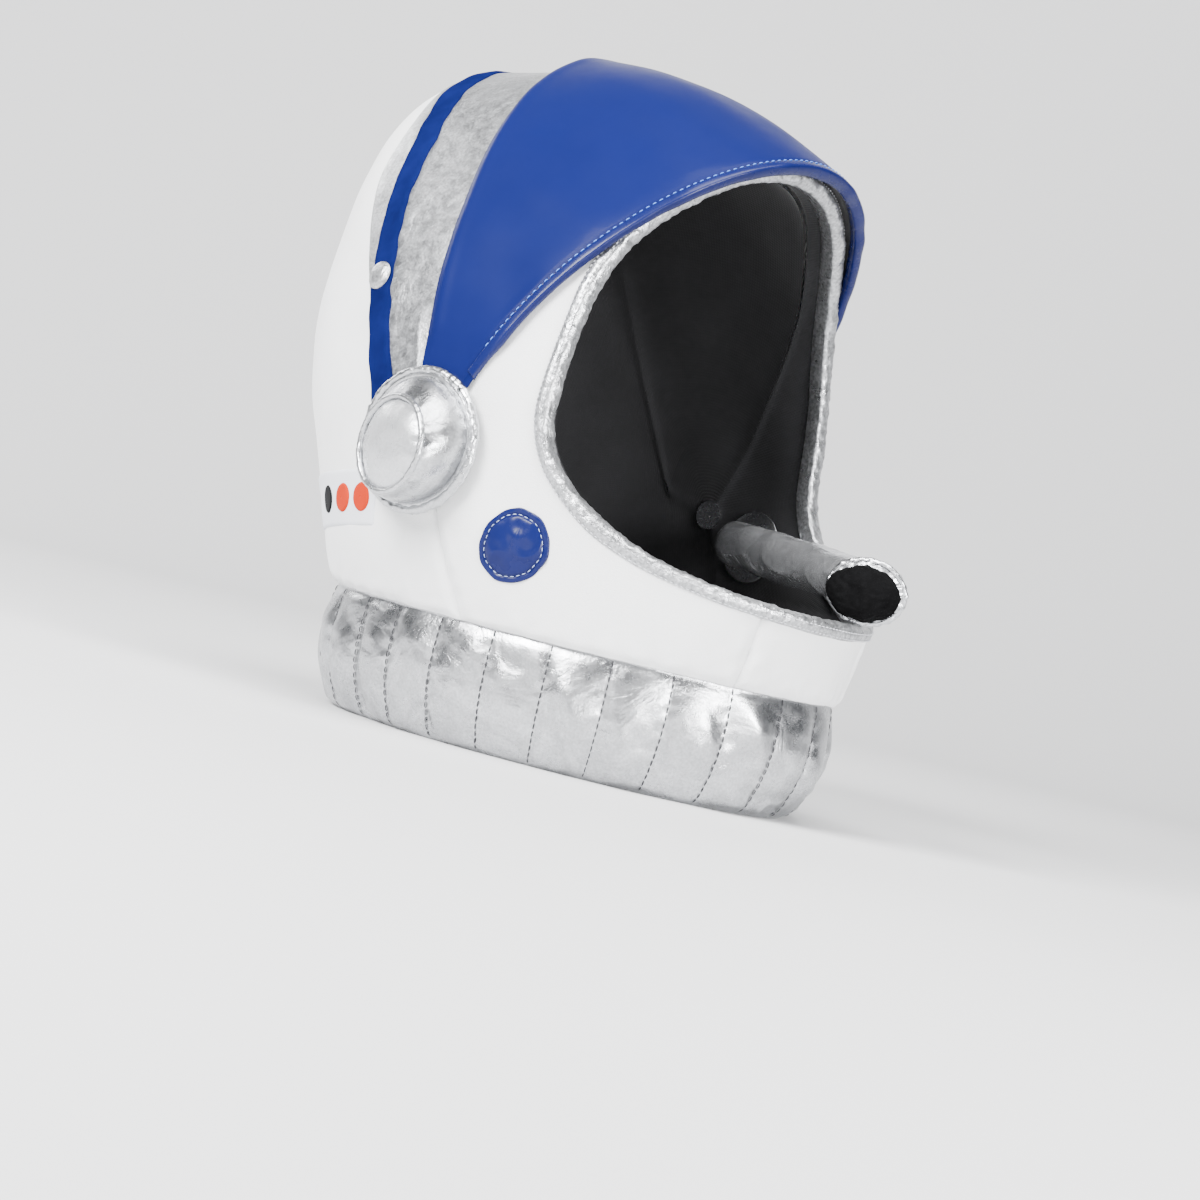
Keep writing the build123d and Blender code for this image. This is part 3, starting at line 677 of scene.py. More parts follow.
def crinkle_group():
    """Crinkled metal cloth: two sizes of bent noise for the height, and a mask of its creases that is used to
    paint shade into them.
    """
    tree, a, z = group("Crinkle", [("Vector", "NodeSocketVector", None), ("Scale", "NodeSocketFloat", 90.0),
                                   ("Bend", "NodeSocketFloat", 1.2)], ["Height", "Mask"])
    finer, lower = SMALL_CRINKLE_SHARES
    big = node(tree, "ShaderNodeTexNoise", Detail=3.0, Roughness=0.55, Vector=a["Vector"],
               Scale=a["Scale"], Distortion=a["Bend"])
    small = node(tree, "ShaderNodeTexNoise", Detail=4.0, Roughness=0.6, Vector=a["Vector"],
                 Scale=sum_node(tree, "MULTIPLY", a["Scale"], finer))
    ridge = sum_node(tree, "ABSOLUTE", sum_node(tree, "SUBTRACT", big.outputs["Fac"], 0.5))
    crease = node(tree, "ShaderNodeMapRange", Value=ridge, From_Max=CREASE_WIDTH_SHARE).outputs["Result"]
    feed(tree, z["Height"], sum_node(tree, "MULTIPLY_ADD", small.outputs["Fac"], lower, crease))
    feed(tree, z["Mask"], crease)
    return tree


# Scale at which a wave texture has about one half wave, which is a thread, to a unit
WAVE_TEXTURE_SCALE = 0.159


def weave_group():
    """Fine weave: the higher of two crossed waves of threads."""
    tree, a, z = group("Weave", [("Vector", "NodeSocketVector", None),
                                 ("Threads per metre", "NodeSocketFloat", 2200.0)], ["Height"])
    scale = sum_node(tree, "MULTIPLY", a["Threads per metre"], WAVE_TEXTURE_SCALE)
    threads = [node(tree, "ShaderNodeTexWave", bands_direction=way, Distortion=0.6, Detail=1.0,
                    Scale=scale, Vector=a["Vector"]).outputs["Fac"] for way in ("X", "Y")]
    feed(tree, z["Height"], sum_node(tree, "MAXIMUM", *threads))
    return tree


def mottle_group():
    """Slow change from one value to another over a surface, as handling and light dust give."""
    tree, a, z = group("Mottle", [("Vector", "NodeSocketVector", None), ("Scale", "NodeSocketFloat", 25.0),
                                  ("Low", "NodeSocketFloat", 0.0), ("High", "NodeSocketFloat", 1.0)],
                       ["Value"])
    noise = node(tree, "ShaderNodeTexNoise", Detail=4.0, Roughness=0.6, Vector=a["Vector"],
                 Scale=a["Scale"])
    value = node(tree, "ShaderNodeMapRange", From_Min=0.3, From_Max=0.7, Value=noise.outputs["Fac"],
                 To_Min=a["Low"], To_Max=a["High"])
    feed(tree, z["Value"], value.outputs["Result"])
    return tree


EFFECTS = {"Crinkle": crinkle_group, "Weave": weave_group, "Mottle": mottle_group}


def cloth_material(name, base, rough=0.5, metallic=0.0, mottle=(25.0, 0.9, 1.0), rough_mottle=None,
                   crinkle=None, weave=None, fuzz=None, sheen=0.0, sheen_rough=0.4, coat=0.0,
                   coat_rough=0.1, painted_crease_shade=0.0, specular=0.5):
    """Material of one cloth: mottled colour and roughness, with crinkle, weave or fuzz as bumps.

    mottle and rough_mottle are (scale, low, high), crinkle is (scale, bend, height in metres),
    weave (threads per metre, height) and fuzz (scale, height). rough_mottle stands in for rough,
    and painted_crease_shade is painted shade: it darkens the colour in the creases of the crinkle.
    """
    mat = bpy.data.materials.new(name)
    mat.use_nodes = True
    tree = mat.node_tree
    shader = tree.nodes["Principled BSDF"].inputs
    coords = tree.nodes.new("ShaderNodeTexCoord").outputs
    place = coords["Object"]

    def mottled(values):
        scale, low, high = values
        return effect(tree, "Mottle", Vector=place, Scale=scale, Low=low, High=high)["Value"]

    bumps = []
    paint = multiplied(tree, (*base, 1.0), mottled(mottle))
    if crinkle:
        scale, bend, height = crinkle
        folded = effect(tree, "Crinkle", Vector=place, Scale=scale, Bend=bend)
        bumps.append((folded["Height"], height))
        # Painted shade: the colour is darkened in the creases of the crinkle, where shade would fall.
        if painted_crease_shade:
            shade = node(tree, "ShaderNodeMapRange", To_Min=1 - painted_crease_shade, Value=folded["Mask"])
            paint = multiplied(tree, paint, shade.outputs["Result"])
    if weave:
        threads, height = weave
        woven = effect(tree, "Weave", Vector=coords["UV"], Threads_per_metre=threads)
        bumps.append((woven["Height"], height))
    if fuzz:
        scale, height = fuzz
        hair = node(tree, "ShaderNodeTexNoise", Scale=scale, Detail=3.0, Roughness=0.7, Vector=place)
        bumps.append((hair.outputs["Fac"], height))
    for height, distance in bumps:
        bump = node(tree, "ShaderNodeBump", Strength=1.0, Distance=distance, Height=height)
        if shader["Normal"].is_linked:
            tree.links.new(shader["Normal"].links[0].from_socket, bump.inputs["Normal"])
        tree.links.new(bump.outputs["Normal"], shader["Normal"])
    looks = {"Base Color": paint, "Roughness": mottled(rough_mottle) if rough_mottle else rough,
             "Metallic": metallic, "Sheen Weight": sheen, "Sheen Roughness": sheen_rough,
             "Coat Weight": coat, "Coat Roughness": coat_rough, "Specular IOR Level": specular}
    for socket, value in looks.items():
        feed(tree, shader[socket], value)
    return mat


# Threads and prints that have no colour of their own among the settings
BLACK_VINYL = (0.008, 0.008, 0.009)
BLACK_FELT = (0.0035, 0.0035, 0.0038)
NICKEL = (0.72, 0.73, 0.75)
BLACK_THREAD = (0.02, 0.02, 0.025)
BLUE_THREAD = (0.06, 0.17, 0.62)
SILVER_THREAD = (0.62, 0.63, 0.66)
THREAD_FUZZ = (5000.0, 0.00005)
PRINT_FUZZ = (2000.0, 0.00003)
VINYL_FUZZ = (2400.0, 0.000018)


def cloth_looks():
    """Looks of every cloth, thread and fitting, by name."""
    c = prop("cloths")
    # The crease darkening in the silver looks is painted shade in the creases of their crinkle.
    silver = dict(base=c.silver, fuzz=(1000.0, 0.00011), rough_mottle=(90.0, 0.22, 0.36), metallic=1.0,
                  mottle=(1000.0, 0.70, 1.0), crinkle=(45.0, 1.0, 0.00007), painted_crease_shade=0.05)
    thread = dict(mottle=(900.0, 0.85, 1.0), fuzz=THREAD_FUZZ)
    return {
        "white_velour": dict(base=c.velour, rough=0.9, mottle=(60.0, 0.955, 1.0), fuzz=(1700.0, 0.00022),
                             sheen=0.35, sheen_rough=0.35, specular=0.2),
        "silver_lame": silver,
        "silver_band": dict(silver, mottle=(900.0, 0.50, 1.0), rough_mottle=(260.0, 0.34, 0.52),
                            crinkle=(70.0, 1.0, 0.00010), fuzz=(1000.0, 0.00010), painted_crease_shade=0.12),
        "silver_quilt": dict(silver, crinkle=(32.0, 1.8, 0.00012), painted_crease_shade=0.20),
        "silver_bright": dict(silver, metallic=0.78, mottle=(900.0, 0.76, 1.0),
                              rough_mottle=(120.0, 0.14, 0.26), crinkle=(60.0, 1.6, 0.00018),
                              fuzz=(1000.0, 0.00010), coat=0.25, coat_rough=0.14, painted_crease_shade=0.20),
        "silver_cap": dict(silver, metallic=0.55, mottle=(1000.0, 0.78, 1.0),
                           rough_mottle=(90.0, 0.20, 0.34)),
        "silver_soft": dict(silver, metallic=0.85, mottle=(750.0, 0.40, 1.0),
                            rough_mottle=(150.0, 0.24, 0.42), crinkle=(160.0, 1.0, 0.00012),
                            fuzz=(700.0, 0.00016), painted_crease_shade=0.12),
        "blue_vinyl": dict(base=c.blue, mottle=(30.0, 0.93, 1.0), rough_mottle=(45.0, 0.28, 0.40),
                           fuzz=VINYL_FUZZ, coat=0.01, coat_rough=0.08, specular=0.03),
        "blue_gloss": dict(base=c.blue, mottle=(60.0, 0.86, 1.0), rough_mottle=(90.0, 0.20, 0.34),
                           fuzz=(2400.0, 0.00002), coat=0.05, coat_rough=0.10, specular=0.14),
        "blue_matt": dict(base=c.blue, mottle=(90.0, 0.66, 0.98), fuzz=VINYL_FUZZ, specular=0.0),
        "black_lining": dict(base=c.lining, rough=0.85, mottle=(70.0, 0.7, 1.0), weave=(1500.0, 0.00008),
                             sheen=0.15),
        "pale_cloth": dict(base=c.patch, rough=0.6, mottle=(120.0, 0.96, 1.0), weave=(1900.0, 0.00004)),
        "orange_vinyl": dict(base=c.orange, rough=0.6, mottle=(150.0, 0.92, 1.0), fuzz=PRINT_FUZZ,
                             specular=0.05),
        "black_vinyl": dict(base=BLACK_VINYL, rough=0.6, mottle=(150.0, 0.8, 1.0), fuzz=PRINT_FUZZ,
                            specular=0.05),
        "black_felt": dict(base=BLACK_FELT, rough=0.95, mottle=(300.0, 0.5, 1.0), fuzz=(1100.0, 0.0004),
                           specular=0.05),
        "rivet_metal": dict(base=NICKEL, metallic=1.0, mottle=(200.0, 0.9, 1.0),
                            rough_mottle=(300.0, 0.18, 0.34), fuzz=(500.0, 0.00001)),
        "pale_thread": dict(thread, base=c.thread, rough=0.55),
        "black_thread": dict(thread, base=BLACK_THREAD, rough=0.6, mottle=(900.0, 0.7, 1.0)),
        "blue_thread": dict(thread, base=BLUE_THREAD, rough=0.5),
        "silver_thread": dict(thread, base=SILVER_THREAD, rough=0.45, metallic=0.4,
                              mottle=(900.0, 0.8, 1.0)),
    }


def cloth(name):
    """The material of a cloth by the name of its look, made once."""
    full_name = "helmet_" + name
    return bpy.data.materials.get(full_name) or cloth_material(full_name, **cloth_looks()[name])


def finish_piece(obj, body, slot, material=None, stands_for=()):
    """Puts a piece on its body with its cloth, and hides the solids it stands for."""
    obj.data.materials.append(cloth(material or slot))
    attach(obj, body)
    if stands_for:
        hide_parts(*stands_for)
    return obj


# Hood


def turned(line, inner, count):
    """Direction of a line that runs out from the ear pole, at even distances from inner to the rim."""
    a = np.hypot(line[:, 0], line[:, 1])
    t = np.unwrap(np.arctan2(line[:, 1], line[:, 0]))
    order = np.argsort(a)
    at = np.linspace(inner, RIM, count)
    return at, np.interp(at, a[order], t[order])


def wheel(at, t):
    """Places on the disc at distances from the ear pole in directions."""
    return at[..., None] * np.stack([np.cos(t), np.sin(t)], -1)


def fan(first, last, inner, cols, rows, ease=True):
    """Grid between two lines that run out from the ear pole: each column keeps its distance from
    the pole and turns from the one line's direction to the other's."""
    at, t0 = turned(first, inner, cols)
    _, t1 = turned(last, inner, cols)
    t1 = t0 + (t1 - t0 + math.pi) % (2 * math.pi) - math.pi
    v = np.linspace(0, 1, rows)
    v = ((1 - np.cos(math.pi * v)) / 2 * 0.5 + v * 0.5 if ease else v)[:, None]
    return wheel(at[None], t0 * (1 - v) + t1 * v)


def over_crown(form, grid):
    """A grid whose last column is in the middle plane, laid from the right ear over to the left."""
    laid = zip(form.place(grid, -1), form.place(grid, 1))
    return [np.concatenate([right, left[:, -2::-1]], 1) for right, left in laid]


def opening_line(form, shift=0.0):
    """Edge of the face opening on the disc, from the crown to the chin, shift into the hood."""
    return form.cut(chain(side_points(OPENING_SHARES), OPENING_TILT, shift))


def from_pole(line):
    """A line on the disc, led on straight from the ear pole."""
    return np.concatenate([np.linspace(0, 1, 12)[:-1, None] * line[0], line])


def stripe_line(form, shift=0.0):
    """Middle of the stripe on the disc, out from the ear pole, shift forward."""
    return from_pole(form.cut(chain(side_points(STRIPE_SHARES), STRIPE_TILT, shift)))


# Steps of the panels' grids along and across; a cheek's along are its side, low corner and foot.
# The pole gap is an angle on the disc.
CHEEK_STEPS = (110, 50, 70)
CHEEK_ROWS = 90
CHIN_STEPS = 50
CROWN_STEPS = (130, 90)
CROWN_POLE_GAP = 0.02
BACK_STEPS = (150, 170)
NECK_REACH = 0.2


def hood_grids(form):
    """Grids of the cover's panels on the disc: cheek, chin, crown and back."""
    opening = opening_line(form)
    rim_share = np.hypot(*opening.T)
    near = int(rim_share.argmin())
    chin_a = math.acos(CHIN_SEAM_HALF / form.half)
    low = near + int(np.argmax(rim_share[near:] > chin_a))
    middle = near + (low - near) // 2
    crown_seam = form.cut(lean_line(CROWN_SEAM_TILT, 0.0))
    drop = prop("collar").height - prop("hood").pivot_height
    seam, _ = form.flat(np.linspace(0, 1, 60)[:, None] * np.array([SIDE_SEAM_FORWARD, drop]))
    front = neck_line(form, SIDE_SEAM_FORWARD, NECK_REACH)
    chin_at = int(np.argmax(np.hypot(*front.T) > chin_a))
    back = neck_line(form, SIDE_SEAM_FORWARD, -NECK_REACH)

    def in_steps(*parts):
        lines = [spread(part, count) for part, count in zip(parts, CHEEK_STEPS)]
        return np.concatenate([lines[0][:-1], lines[1][:-1], lines[2]])

    cheek = ruled(in_steps(opening[:near + 1], opening[near:middle + 1], opening[middle:low + 1]),
                  in_steps(crown_seam[::-1], seam, front[:chin_at + 1]), CHEEK_ROWS)
    cheek[:, 0] *= RIM / np.hypot(*cheek[:, 0].T)[:, None]
    cheek[:, -1] *= chin_a / np.hypot(*cheek[:, -1].T)[:, None]
    chin = fan(opening[low - 1:], front[chin_at - 1:], chin_a, CHIN_STEPS, CHIN_STEPS, ease=False)
    stripe = stripe_line(form)
    crown = fan(crown_seam, stripe, CROWN_POLE_GAP, *CROWN_STEPS, ease=False)
    t_back, t_top = (math.atan2(line[-1][1], line[-1][0]) for line in (back, stripe))
    cols, rows = BACK_STEPS
    panel = coons(spread(back, cols), spread(stripe, cols), spread(seam[::-1], rows),
                  flat_arc(t_back + 2 * math.pi, t_top, rows))
    return cheek, chin, crown, panel


def foam_waves(p):
    """Broad unevenness of the foam, which every layer above it follows."""
    return prop("hood").softness * ripples(p, "foam")


# Edges rolled in where a cloth is sewn on or cut: depth, and width over which they roll
ROLLS = {"band": (0.0011, 0.0014), "stripe": (0.0009, 0.0007), "rear patch": (0.0007, 0.0006)}
ROLL_POWER = 1.6
PUCKER_WIDTH = 0.009

# Thickness of each sheet of cloth
THICK = {"cover": 0.0013, "binding": 0.0005, "band": 0.0007, "stripe": 0.0006, "cheek disc": 0.0005,
         "rear patch": 0.0006, "dot": 0.0004, "visor": 0.0008, "visor lining": 0.0005,
         "visor edge": 0.0004, "pod": 0.0008, "collar": 0.0009, "collar lining": 0.0005,
         "root patch": 0.0005}


def rolled(d, piece):
    """How far a sheet rolls in at the distance d from its edge."""
    depth, width = ROLLS[piece]
    return -depth * fall(d, width, ROLL_POWER)


def sewn_lift(p, sides):
    """Lift of a panel: rolled in along its seams, puckered beside them, uneven over the foam."""
    h = prop("hood")
    d = edge_distance(p, sides)
    roll = -h.seam_depth * fall(d, h.seam_width, ROLL_POWER)
    return roll + ripples(p, "pucker") * fall(d, PUCKER_WIDTH) + foam_waves(p)


def make_cover():
    """The white panels of the cover, each rolled in along its seams."""
    form = Form.get(0.0)
    cheek, chin, crown, back = hood_grids(form)
    made = []

    def panel(part, word, laid, sides):
        p, n = laid
        q = p + n * sewn_lift(p, sides)[..., None]
        obj = shell("cover_" + part + "_cloth" + word, q, n, THICK["cover"])
        nodes = ["cover_" + part + word, "foam_" + part + word]
        made.append(finish_piece(obj, "hood", "white_velour", stands_for=nodes))

    for side, word in ((1, "_left"), (-1, "_right")):
        panel("cheek", word, form.place(cheek, side), (1, 2, 3))
        panel("back", word, form.place(back, side), (0, 1, 2, 3))
    panel("chin", "", over_crown(form, chin), (1, 2, 3))
    panel("crown", "", over_crown(form, crown), (0, 1))
    return made


def pressed(away):
    """How far the lining is pressed towards the cover, away from the bound edge."""
    b = prop("bindings")
    return (prop("hood").wall - b.edge_wall) * fall(np.asarray(away), b.edge_press)


# Lining: how far and wide its seams are drawn in, and how far its edge stays even
LINING_SEAM_DEPTH = 0.0007
LINING_SEAM_WIDTH = 0.003
LINING_EVEN_EDGE = 0.012


def make_linings():
    """Black lining inside the hood, one sheet for each panel of the cover, half as fine."""
    form = Form.get(-prop("hood").wall)
    cheek, chin, crown, back = hood_grids(form)
    sheets = []
    for grid, both, bound in ((cheek, True, True), (back, True, False), (chin, False, True),
                              (crown, False, False)):
        keep = [np.unique(np.append(np.arange(0, count, 2), count - 1)) for count in grid.shape[:2]]
        grid = grid[keep[0]][:, keep[1]]
        laid = [form.place(grid, side) for side in (-1, 1)] if both else [over_crown(form, grid)]
        sheets += [(p, n, bound) for p, n in laid]
    parts, uvs = [], []
    for p, n, bound in sheets:
        sewn = edge_distance(p, (1, 2, 3) if bound else (0, 1, 2, 3))
        away = edge_distance(p, (0,)) if bound else np.full(sewn.shape, np.inf)
        lift = ripples(p, "lining") - LINING_SEAM_DEPTH * fall(sewn, LINING_SEAM_WIDTH)
        lift = lift * smooth(away / LINING_EVEN_EDGE) + (pressed(away) if bound else 0)
        q = p + n * lift[..., None]
        parts.append((q.reshape(-1, 3), quads(*q.shape[:2], flip=outward(q, n))))
        uvs.append(along_grid(q).reshape(-1, 2))
    obj = put("head_lining_cloth", *joined(parts), np.concatenate(uvs))
    return finish_piece(obj, "hood", "black_lining", stands_for=["head_lining"])


def loop(form, line_of, count):
    """A line of the side view and its mirror image as one closed ring of places on a form."""
    flat = spread(line_of(form), count)
    laid = zip(form.place(flat, -1), form.place(flat, 1))
    return [np.concatenate([right, left[-2:0:-1]]) for right, left in laid]


# Face binding: its steps, how far its nose stands past the edge and it stands off the wall on both
# sides, and its profile there: shares of its width with how far it stands off
BINDING_STEPS = 420
BINDING_NOSE = 0.0016
BINDING_OFF = 0.0011
BINDING_OFF_INSIDE = 0.0010
BINDING_OUTSIDE = ((1.0, -0.0002), (0.98, 0.0004), (0.85, 0.0008), (0.6, 0.00125), (0.35, 0.0014),
                   (0.14, 0.00125))
BINDING_INSIDE = ((0.2, 0.0015), (0.6, 0.0014), (0.9, 0.0012), (1.0, 0.0))
BINDING_STITCHES = ((0.80, 0.0011), (0.16, 0.0015))


def make_face_binding():
    """Silver binding: a padded band of cloth folded over the wall's edge.

    Its profile runs from the outer seam over the edge to the inner seam as pairs of the shift into
    the hood and the growth of the form, rounded like half an egg at the edge.
    """
    h, b = prop("hood"), prop("bindings")
    width = b.binding_width
    s = np.linspace(0, math.pi, 13)
    outer_share, outer_grow = np.array(BINDING_OUTSIDE).T
    inner_share, inner_off = np.array(BINDING_INSIDE).T
    inside = b.binding_inside * inner_share
    across = b.edge_wall + BINDING_OFF + BINDING_OFF_INSIDE
    shift = np.concatenate([width * outer_share, -BINDING_NOSE * np.sin(s), inside])
    grow = np.concatenate([outer_grow, BINDING_OFF - across * (1 - np.cos(s)) / 2,
                           pressed(inside) - h.wall - inner_off])

    def ring(growth, into):
        return loop(Form.get(growth), lambda form: opening_line(form, into), BINDING_STEPS)

    p = np.stack([ring(growth, into)[0] for into, growth in zip(shift, grow)])
    n = grid_normals(p, True)
    n = turned_out(n, n[4], ring(0.0, width / 2)[1])
    part = np.linspace(0, 1, len(p))[:, None]
    lift = (np.sin(math.pi * part) * (ripples(p, "binding") + creases(p, "binding"))
            + (1 - part) ** 0.5 * foam_waves(p))
    obj = shell("face_binding_cloth", p + n * lift[..., None], n, THICK["binding"], True)
    made = [finish_piece(obj, "hood", "silver_lame", "silver_soft", ["face_binding"])]
    for number, (share, off) in enumerate(BINDING_STITCHES):
        line, normal = ring(off, width * share)
        line = line + normal * foam_waves(line)[:, None]
        row = stitches("binding_stitches_%d" % number, line, normal, pitch=0.0022, radius=0.00024)
        made.append(finish_piece(row, "hood", "silver_lame", "silver_thread"))
    return made


# What is taken off the silver band's creases, and the distance from the pivots in which they fade
BAND_CREASE_MEAN = 0.4
BAND_CREASE_REACH = 0.085


def from_pivots(p):
    """Distance of places from the line through both ear pivots."""
    h = prop("hood")
    return np.hypot(p[..., 0] + h.pivot_back, p[..., 2] - h.pivot_height)


def band_folds(p):
    """Height of the soft folds of the silver band, deeper beside the ear pods."""
    slant = p * [1.0, 1.0, 0.45] + 0.35 * p[..., [2, 1, 0]]
    deep = creases(slant, "band", mean=BAND_CREASE_MEAN) * fall(from_pivots(p), BAND_CREASE_REACH)
    return foam_waves(p) + ripples(p, "band") + deep


# Bands: the angle from the ear pole at which they start, how far the band's edge stays even, how
# high the stripe lies, and the row from which its sway is read
BAND_START = 0.13
BAND_EVEN_EDGE = 0.006
STRIPE_CROWN = 0.0003
STRIPE_MIDDLE_ROW = 7


def make_bands():
    """Silver band behind the visor, with its blue stripe and round studs."""
    b = prop("bindings")
    form = Form.get(b.band_thick)
    front = form.cut(lean_line(BAND_FRONT_TILT, 0.0))
    back = from_pole(form.cut(chain(side_points(BAND_BACK_SHARES), BAND_BACK_TILT)))
    p, n = over_crown(form, fan(front, back, BAND_START, cols=150, rows=80))
    d = edge_distance(p, (0, 1))
    at_edge = 1 - smooth(d / BAND_EVEN_EDGE)
    lift = rolled(d, "band") + band_folds(p) * (1 - at_edge) + foam_waves(p) * at_edge
    obj = shell("crown_band_cloth", p + n * lift[..., None], n, THICK["band"])
    made = [finish_piece(obj, "hood", "silver_lame", "silver_band", ["crown_band"])]
    top = Form.get(b.band_thick + b.stripe_thick)
    half = b.stripe_width / 2
    grid = fan(stripe_line(top, half), stripe_line(top, -half), BAND_START, cols=260, rows=14)
    p, n = over_crown(top, grid)
    middle = p[STRIPE_MIDDLE_ROW:STRIPE_MIDDLE_ROW + 1]
    across = np.linspace(1, -1, p.shape[0])[:, None]
    sway = unit(p[0] - p[-1])[None] * (ripples(middle, "stripe way") * (1 + 0.5 * across))[..., None]
    lift = STRIPE_CROWN + rolled(edge_distance(p, (0, 1)), "stripe") + ripples(p, "stripe") + band_folds(p)
    obj = shell("crown_stripe_vinyl", p + sway + n * lift[..., None], n, THICK["stripe"])
    made.append(finish_piece(obj, "hood", "blue_vinyl", "blue_matt", ["crown_stripe"]))
    made.append(make_studs(top))
    return made


def seat(form, place, side):
    """Point, outward normal and two ways along the surface at a side-view place."""
    flat, _ = form.flat(np.asarray(place, float)[None])
    (p,), (n,) = form.place(flat, side)
    up = unit(np.array([0.0, 0.0, 1.0]) - n * n[2])
    return p, n, np.cross(up, n), up


def on_form(form, points, way, lift=0.0, steps=6):
    """Points moved along a way until they lie on a form, by Newton's steps, then lifted."""
    h = prop("hood")
    q = np.array(points, float)
    for _ in range(steps):
        x, y, z = q[..., 0] + h.pivot_back, q[..., 1], q[..., 2] - h.pivot_height
        t, rho = np.arctan2(z, x), np.hypot(x, z)
        r, slope = np.interp(t, form.t, form.r), np.interp(t, form.t, form.slope)
        value = rho ** 2 / r ** 2 + y ** 2 / form.half ** 2 - 1
        out, turn = 2 * rho / r ** 2, -2 * rho * slope / r ** 3
        g = np.stack([out * np.cos(t) - turn * np.sin(t), 2 * y / form.half ** 2,
                      out * np.sin(t) + turn * np.cos(t)], -1)
        q = q - way * (value / (g @ way))[..., None]
    n = unit(g)
    return q + n * np.asarray(lift)[..., None], n


def polar(radii, count):
    """Radii and angles of a round grid, row by row."""
    return np.meshgrid(radii, around(count), indexing="ij")


# Hand-cut outline of the cheek discs: waves round it, height of each as a share of the radius, start
OUTLINE_SHARES = ((2, 0.040, -1.9), (3, 0.014, 0.6), (7, 0.009, 0.0), (11, 0.006, 2.0))


def uneven(t):
    """Outline of a patch that was cut and sewn by hand, as a share of its radius at each angle."""
    return 1 + sum(height * np.cos(number * t + start) for number, height, start in OUTLINE_SHARES)


# The smallest ring of a round patch, as a share of its radius
FIRST_RING_SHARE = 0.004


def circle_on(seated, radius, t):
    """Places round a seat, in its plane, at radii and angles."""
    middle, _, level, up = seated
    return middle + radius[..., None] * (np.cos(t)[..., None] * level + np.sin(t)[..., None] * up)


def disc_on(form, place, side, radius, profile, rings=26, count=96, outline=None):
    """Round patch laid on a form: rows of rings whose lift is profile(radius share)."""
    seated = seat(form, place, side)
    shares = np.sin(np.linspace(0.0, 1.0, rings) * math.pi / 2)
    shares[0] = FIRST_RING_SHARE
    r, t = polar(radius * shares, count)
    r = r if outline is None else r * outline(t)
    return on_form(form, circle_on(seated, r, t), seated[1], profile(shares)[:, None] * np.ones_like(r))


# Studs: their height, how deep their rim sits, how blunt their dome is, how far they clear the folds
STUD_HEIGHT = 0.0020
STUD_SINK = 0.0002
STUD_BLUNTNESS = 2.4
STUD_CLEAR = 0.0006


def make_studs(form):
    """Domed button at each side of the stripe: height by the root of one less a power of the radius."""
    def dome(s):
        return STUD_HEIGHT * np.sqrt(np.maximum(0, 1 - s ** STUD_BLUNTNESS)) - STUD_SINK

    parts = []
    for side in (-1, 1):
        p, n = disc_on(form, side_points(STRIPE_SHARES[1]), side, prop("bindings").stud_radius, dome,
                       rings=18, count=48)
        faces = quads(*p.shape[:2], closed=True, flip=not outward(p, n))
        p = p + n * (band_folds(p).max() + STUD_CLEAR)
        parts.append((p.reshape(-1, 3), faces))
    obj = put("band_stud_domes", *joined(parts))
    return finish_piece(obj, "hood", "rivet_metal", "silver_soft", ["band_studs"])


# Cheek discs: place from the pivots, how far in their stitches run, dome, groove of the stitches
# and its width as a share, and how far their rim turns in
CHEEK_DISC_PLACE = (0.048, -0.0305)
CHEEK_DISC_HEM = 0.0028
CHEEK_DISC_DOME = 0.0016
CHEEK_DISC_GROOVE = 0.00045
CHEEK_DISC_GROOVE_SHARE = 0.035
CHEEK_DISC_RIM_SHARE = 0.955
CHEEK_DISC_RIM_SINK = 0.0006
CHEEK_THREAD_LIFT = 0.0001

# Rear patch: its middle below and its front behind the pivots, its half height, its slope down to
# the back, and the share of the patches' thickness at which it lies
REAR_PATCH_DROP = 0.025
REAR_PATCH_FRONT = 0.021
REAR_PATCH_HALF = 0.011
REAR_PATCH_SLOPE = math.tan(math.radians(8.0))
REAR_PATCH_LIFT_SHARE = 0.8

# Dots: the first one's place behind the pivots, their spacing, height and turned-in rim
DOT_START = 0.030
DOT_SPACING = 0.0142
DOT_HEIGHT = 0.0013
DOT_RIM = 0.0006
DOT_RIM_SHARE = 0.9
DOTS = (("orange_vinyl", ["patch_dots_orange"]), ("orange_vinyl", ()), ("black_vinyl", ["patch_dot_black"]))


def make_patches():
    """Stitched vinyl cheek discs, and the pale patch with its dots."""
    form = Form.get(0.0)
    made = make_cheek_disc(form, 1, "left") + make_cheek_disc(form, -1, "right")
    x = np.linspace(-REAR_PATCH_FRONT, -NECK_REACH, 200)
    middle = -REAR_PATCH_DROP + REAR_PATCH_SLOPE * (x + REAR_PATCH_FRONT)
    edges = [spread(form.cut(np.stack([x, middle + half], -1)), 110)
             for half in (-REAR_PATCH_HALF, REAR_PATCH_HALF)]
    p, n = form.place(ruled(*edges, 36), -1)
    lift = (prop("bindings").patch_thick * REAR_PATCH_LIFT_SHARE
            + rolled(edge_distance(p, (0, 1, 2, 3)), "rear patch") + ripples(p, "rear patch") + foam_waves(p))
    obj = shell("rear_patch_cloth", p + n * lift[..., None], n, THICK["rear patch"])
    made.append(finish_piece(obj, "hood", "pale_cloth", stands_for=["rear_patch"]))

    def flat_dot(s):
        return DOT_HEIGHT - DOT_RIM * smooth((s - DOT_RIM_SHARE) / (1 - DOT_RIM_SHARE))

    for number, (slot, nodes) in enumerate(DOTS):
        back = DOT_START + DOT_SPACING * number
        place = (-back, -REAR_PATCH_DROP - REAR_PATCH_SLOPE * (back - REAR_PATCH_FRONT))
        p, n = disc_on(form, place, -1, prop("bindings").dot_radius, flat_dot, rings=12, count=64)
        p = p + n * foam_waves(p)[..., None]
        obj = shell("patch_dot_%d" % number, p, n, THICK["dot"], True)
        made.append(finish_piece(obj, "hood", slot, stands_for=nodes))
    return made


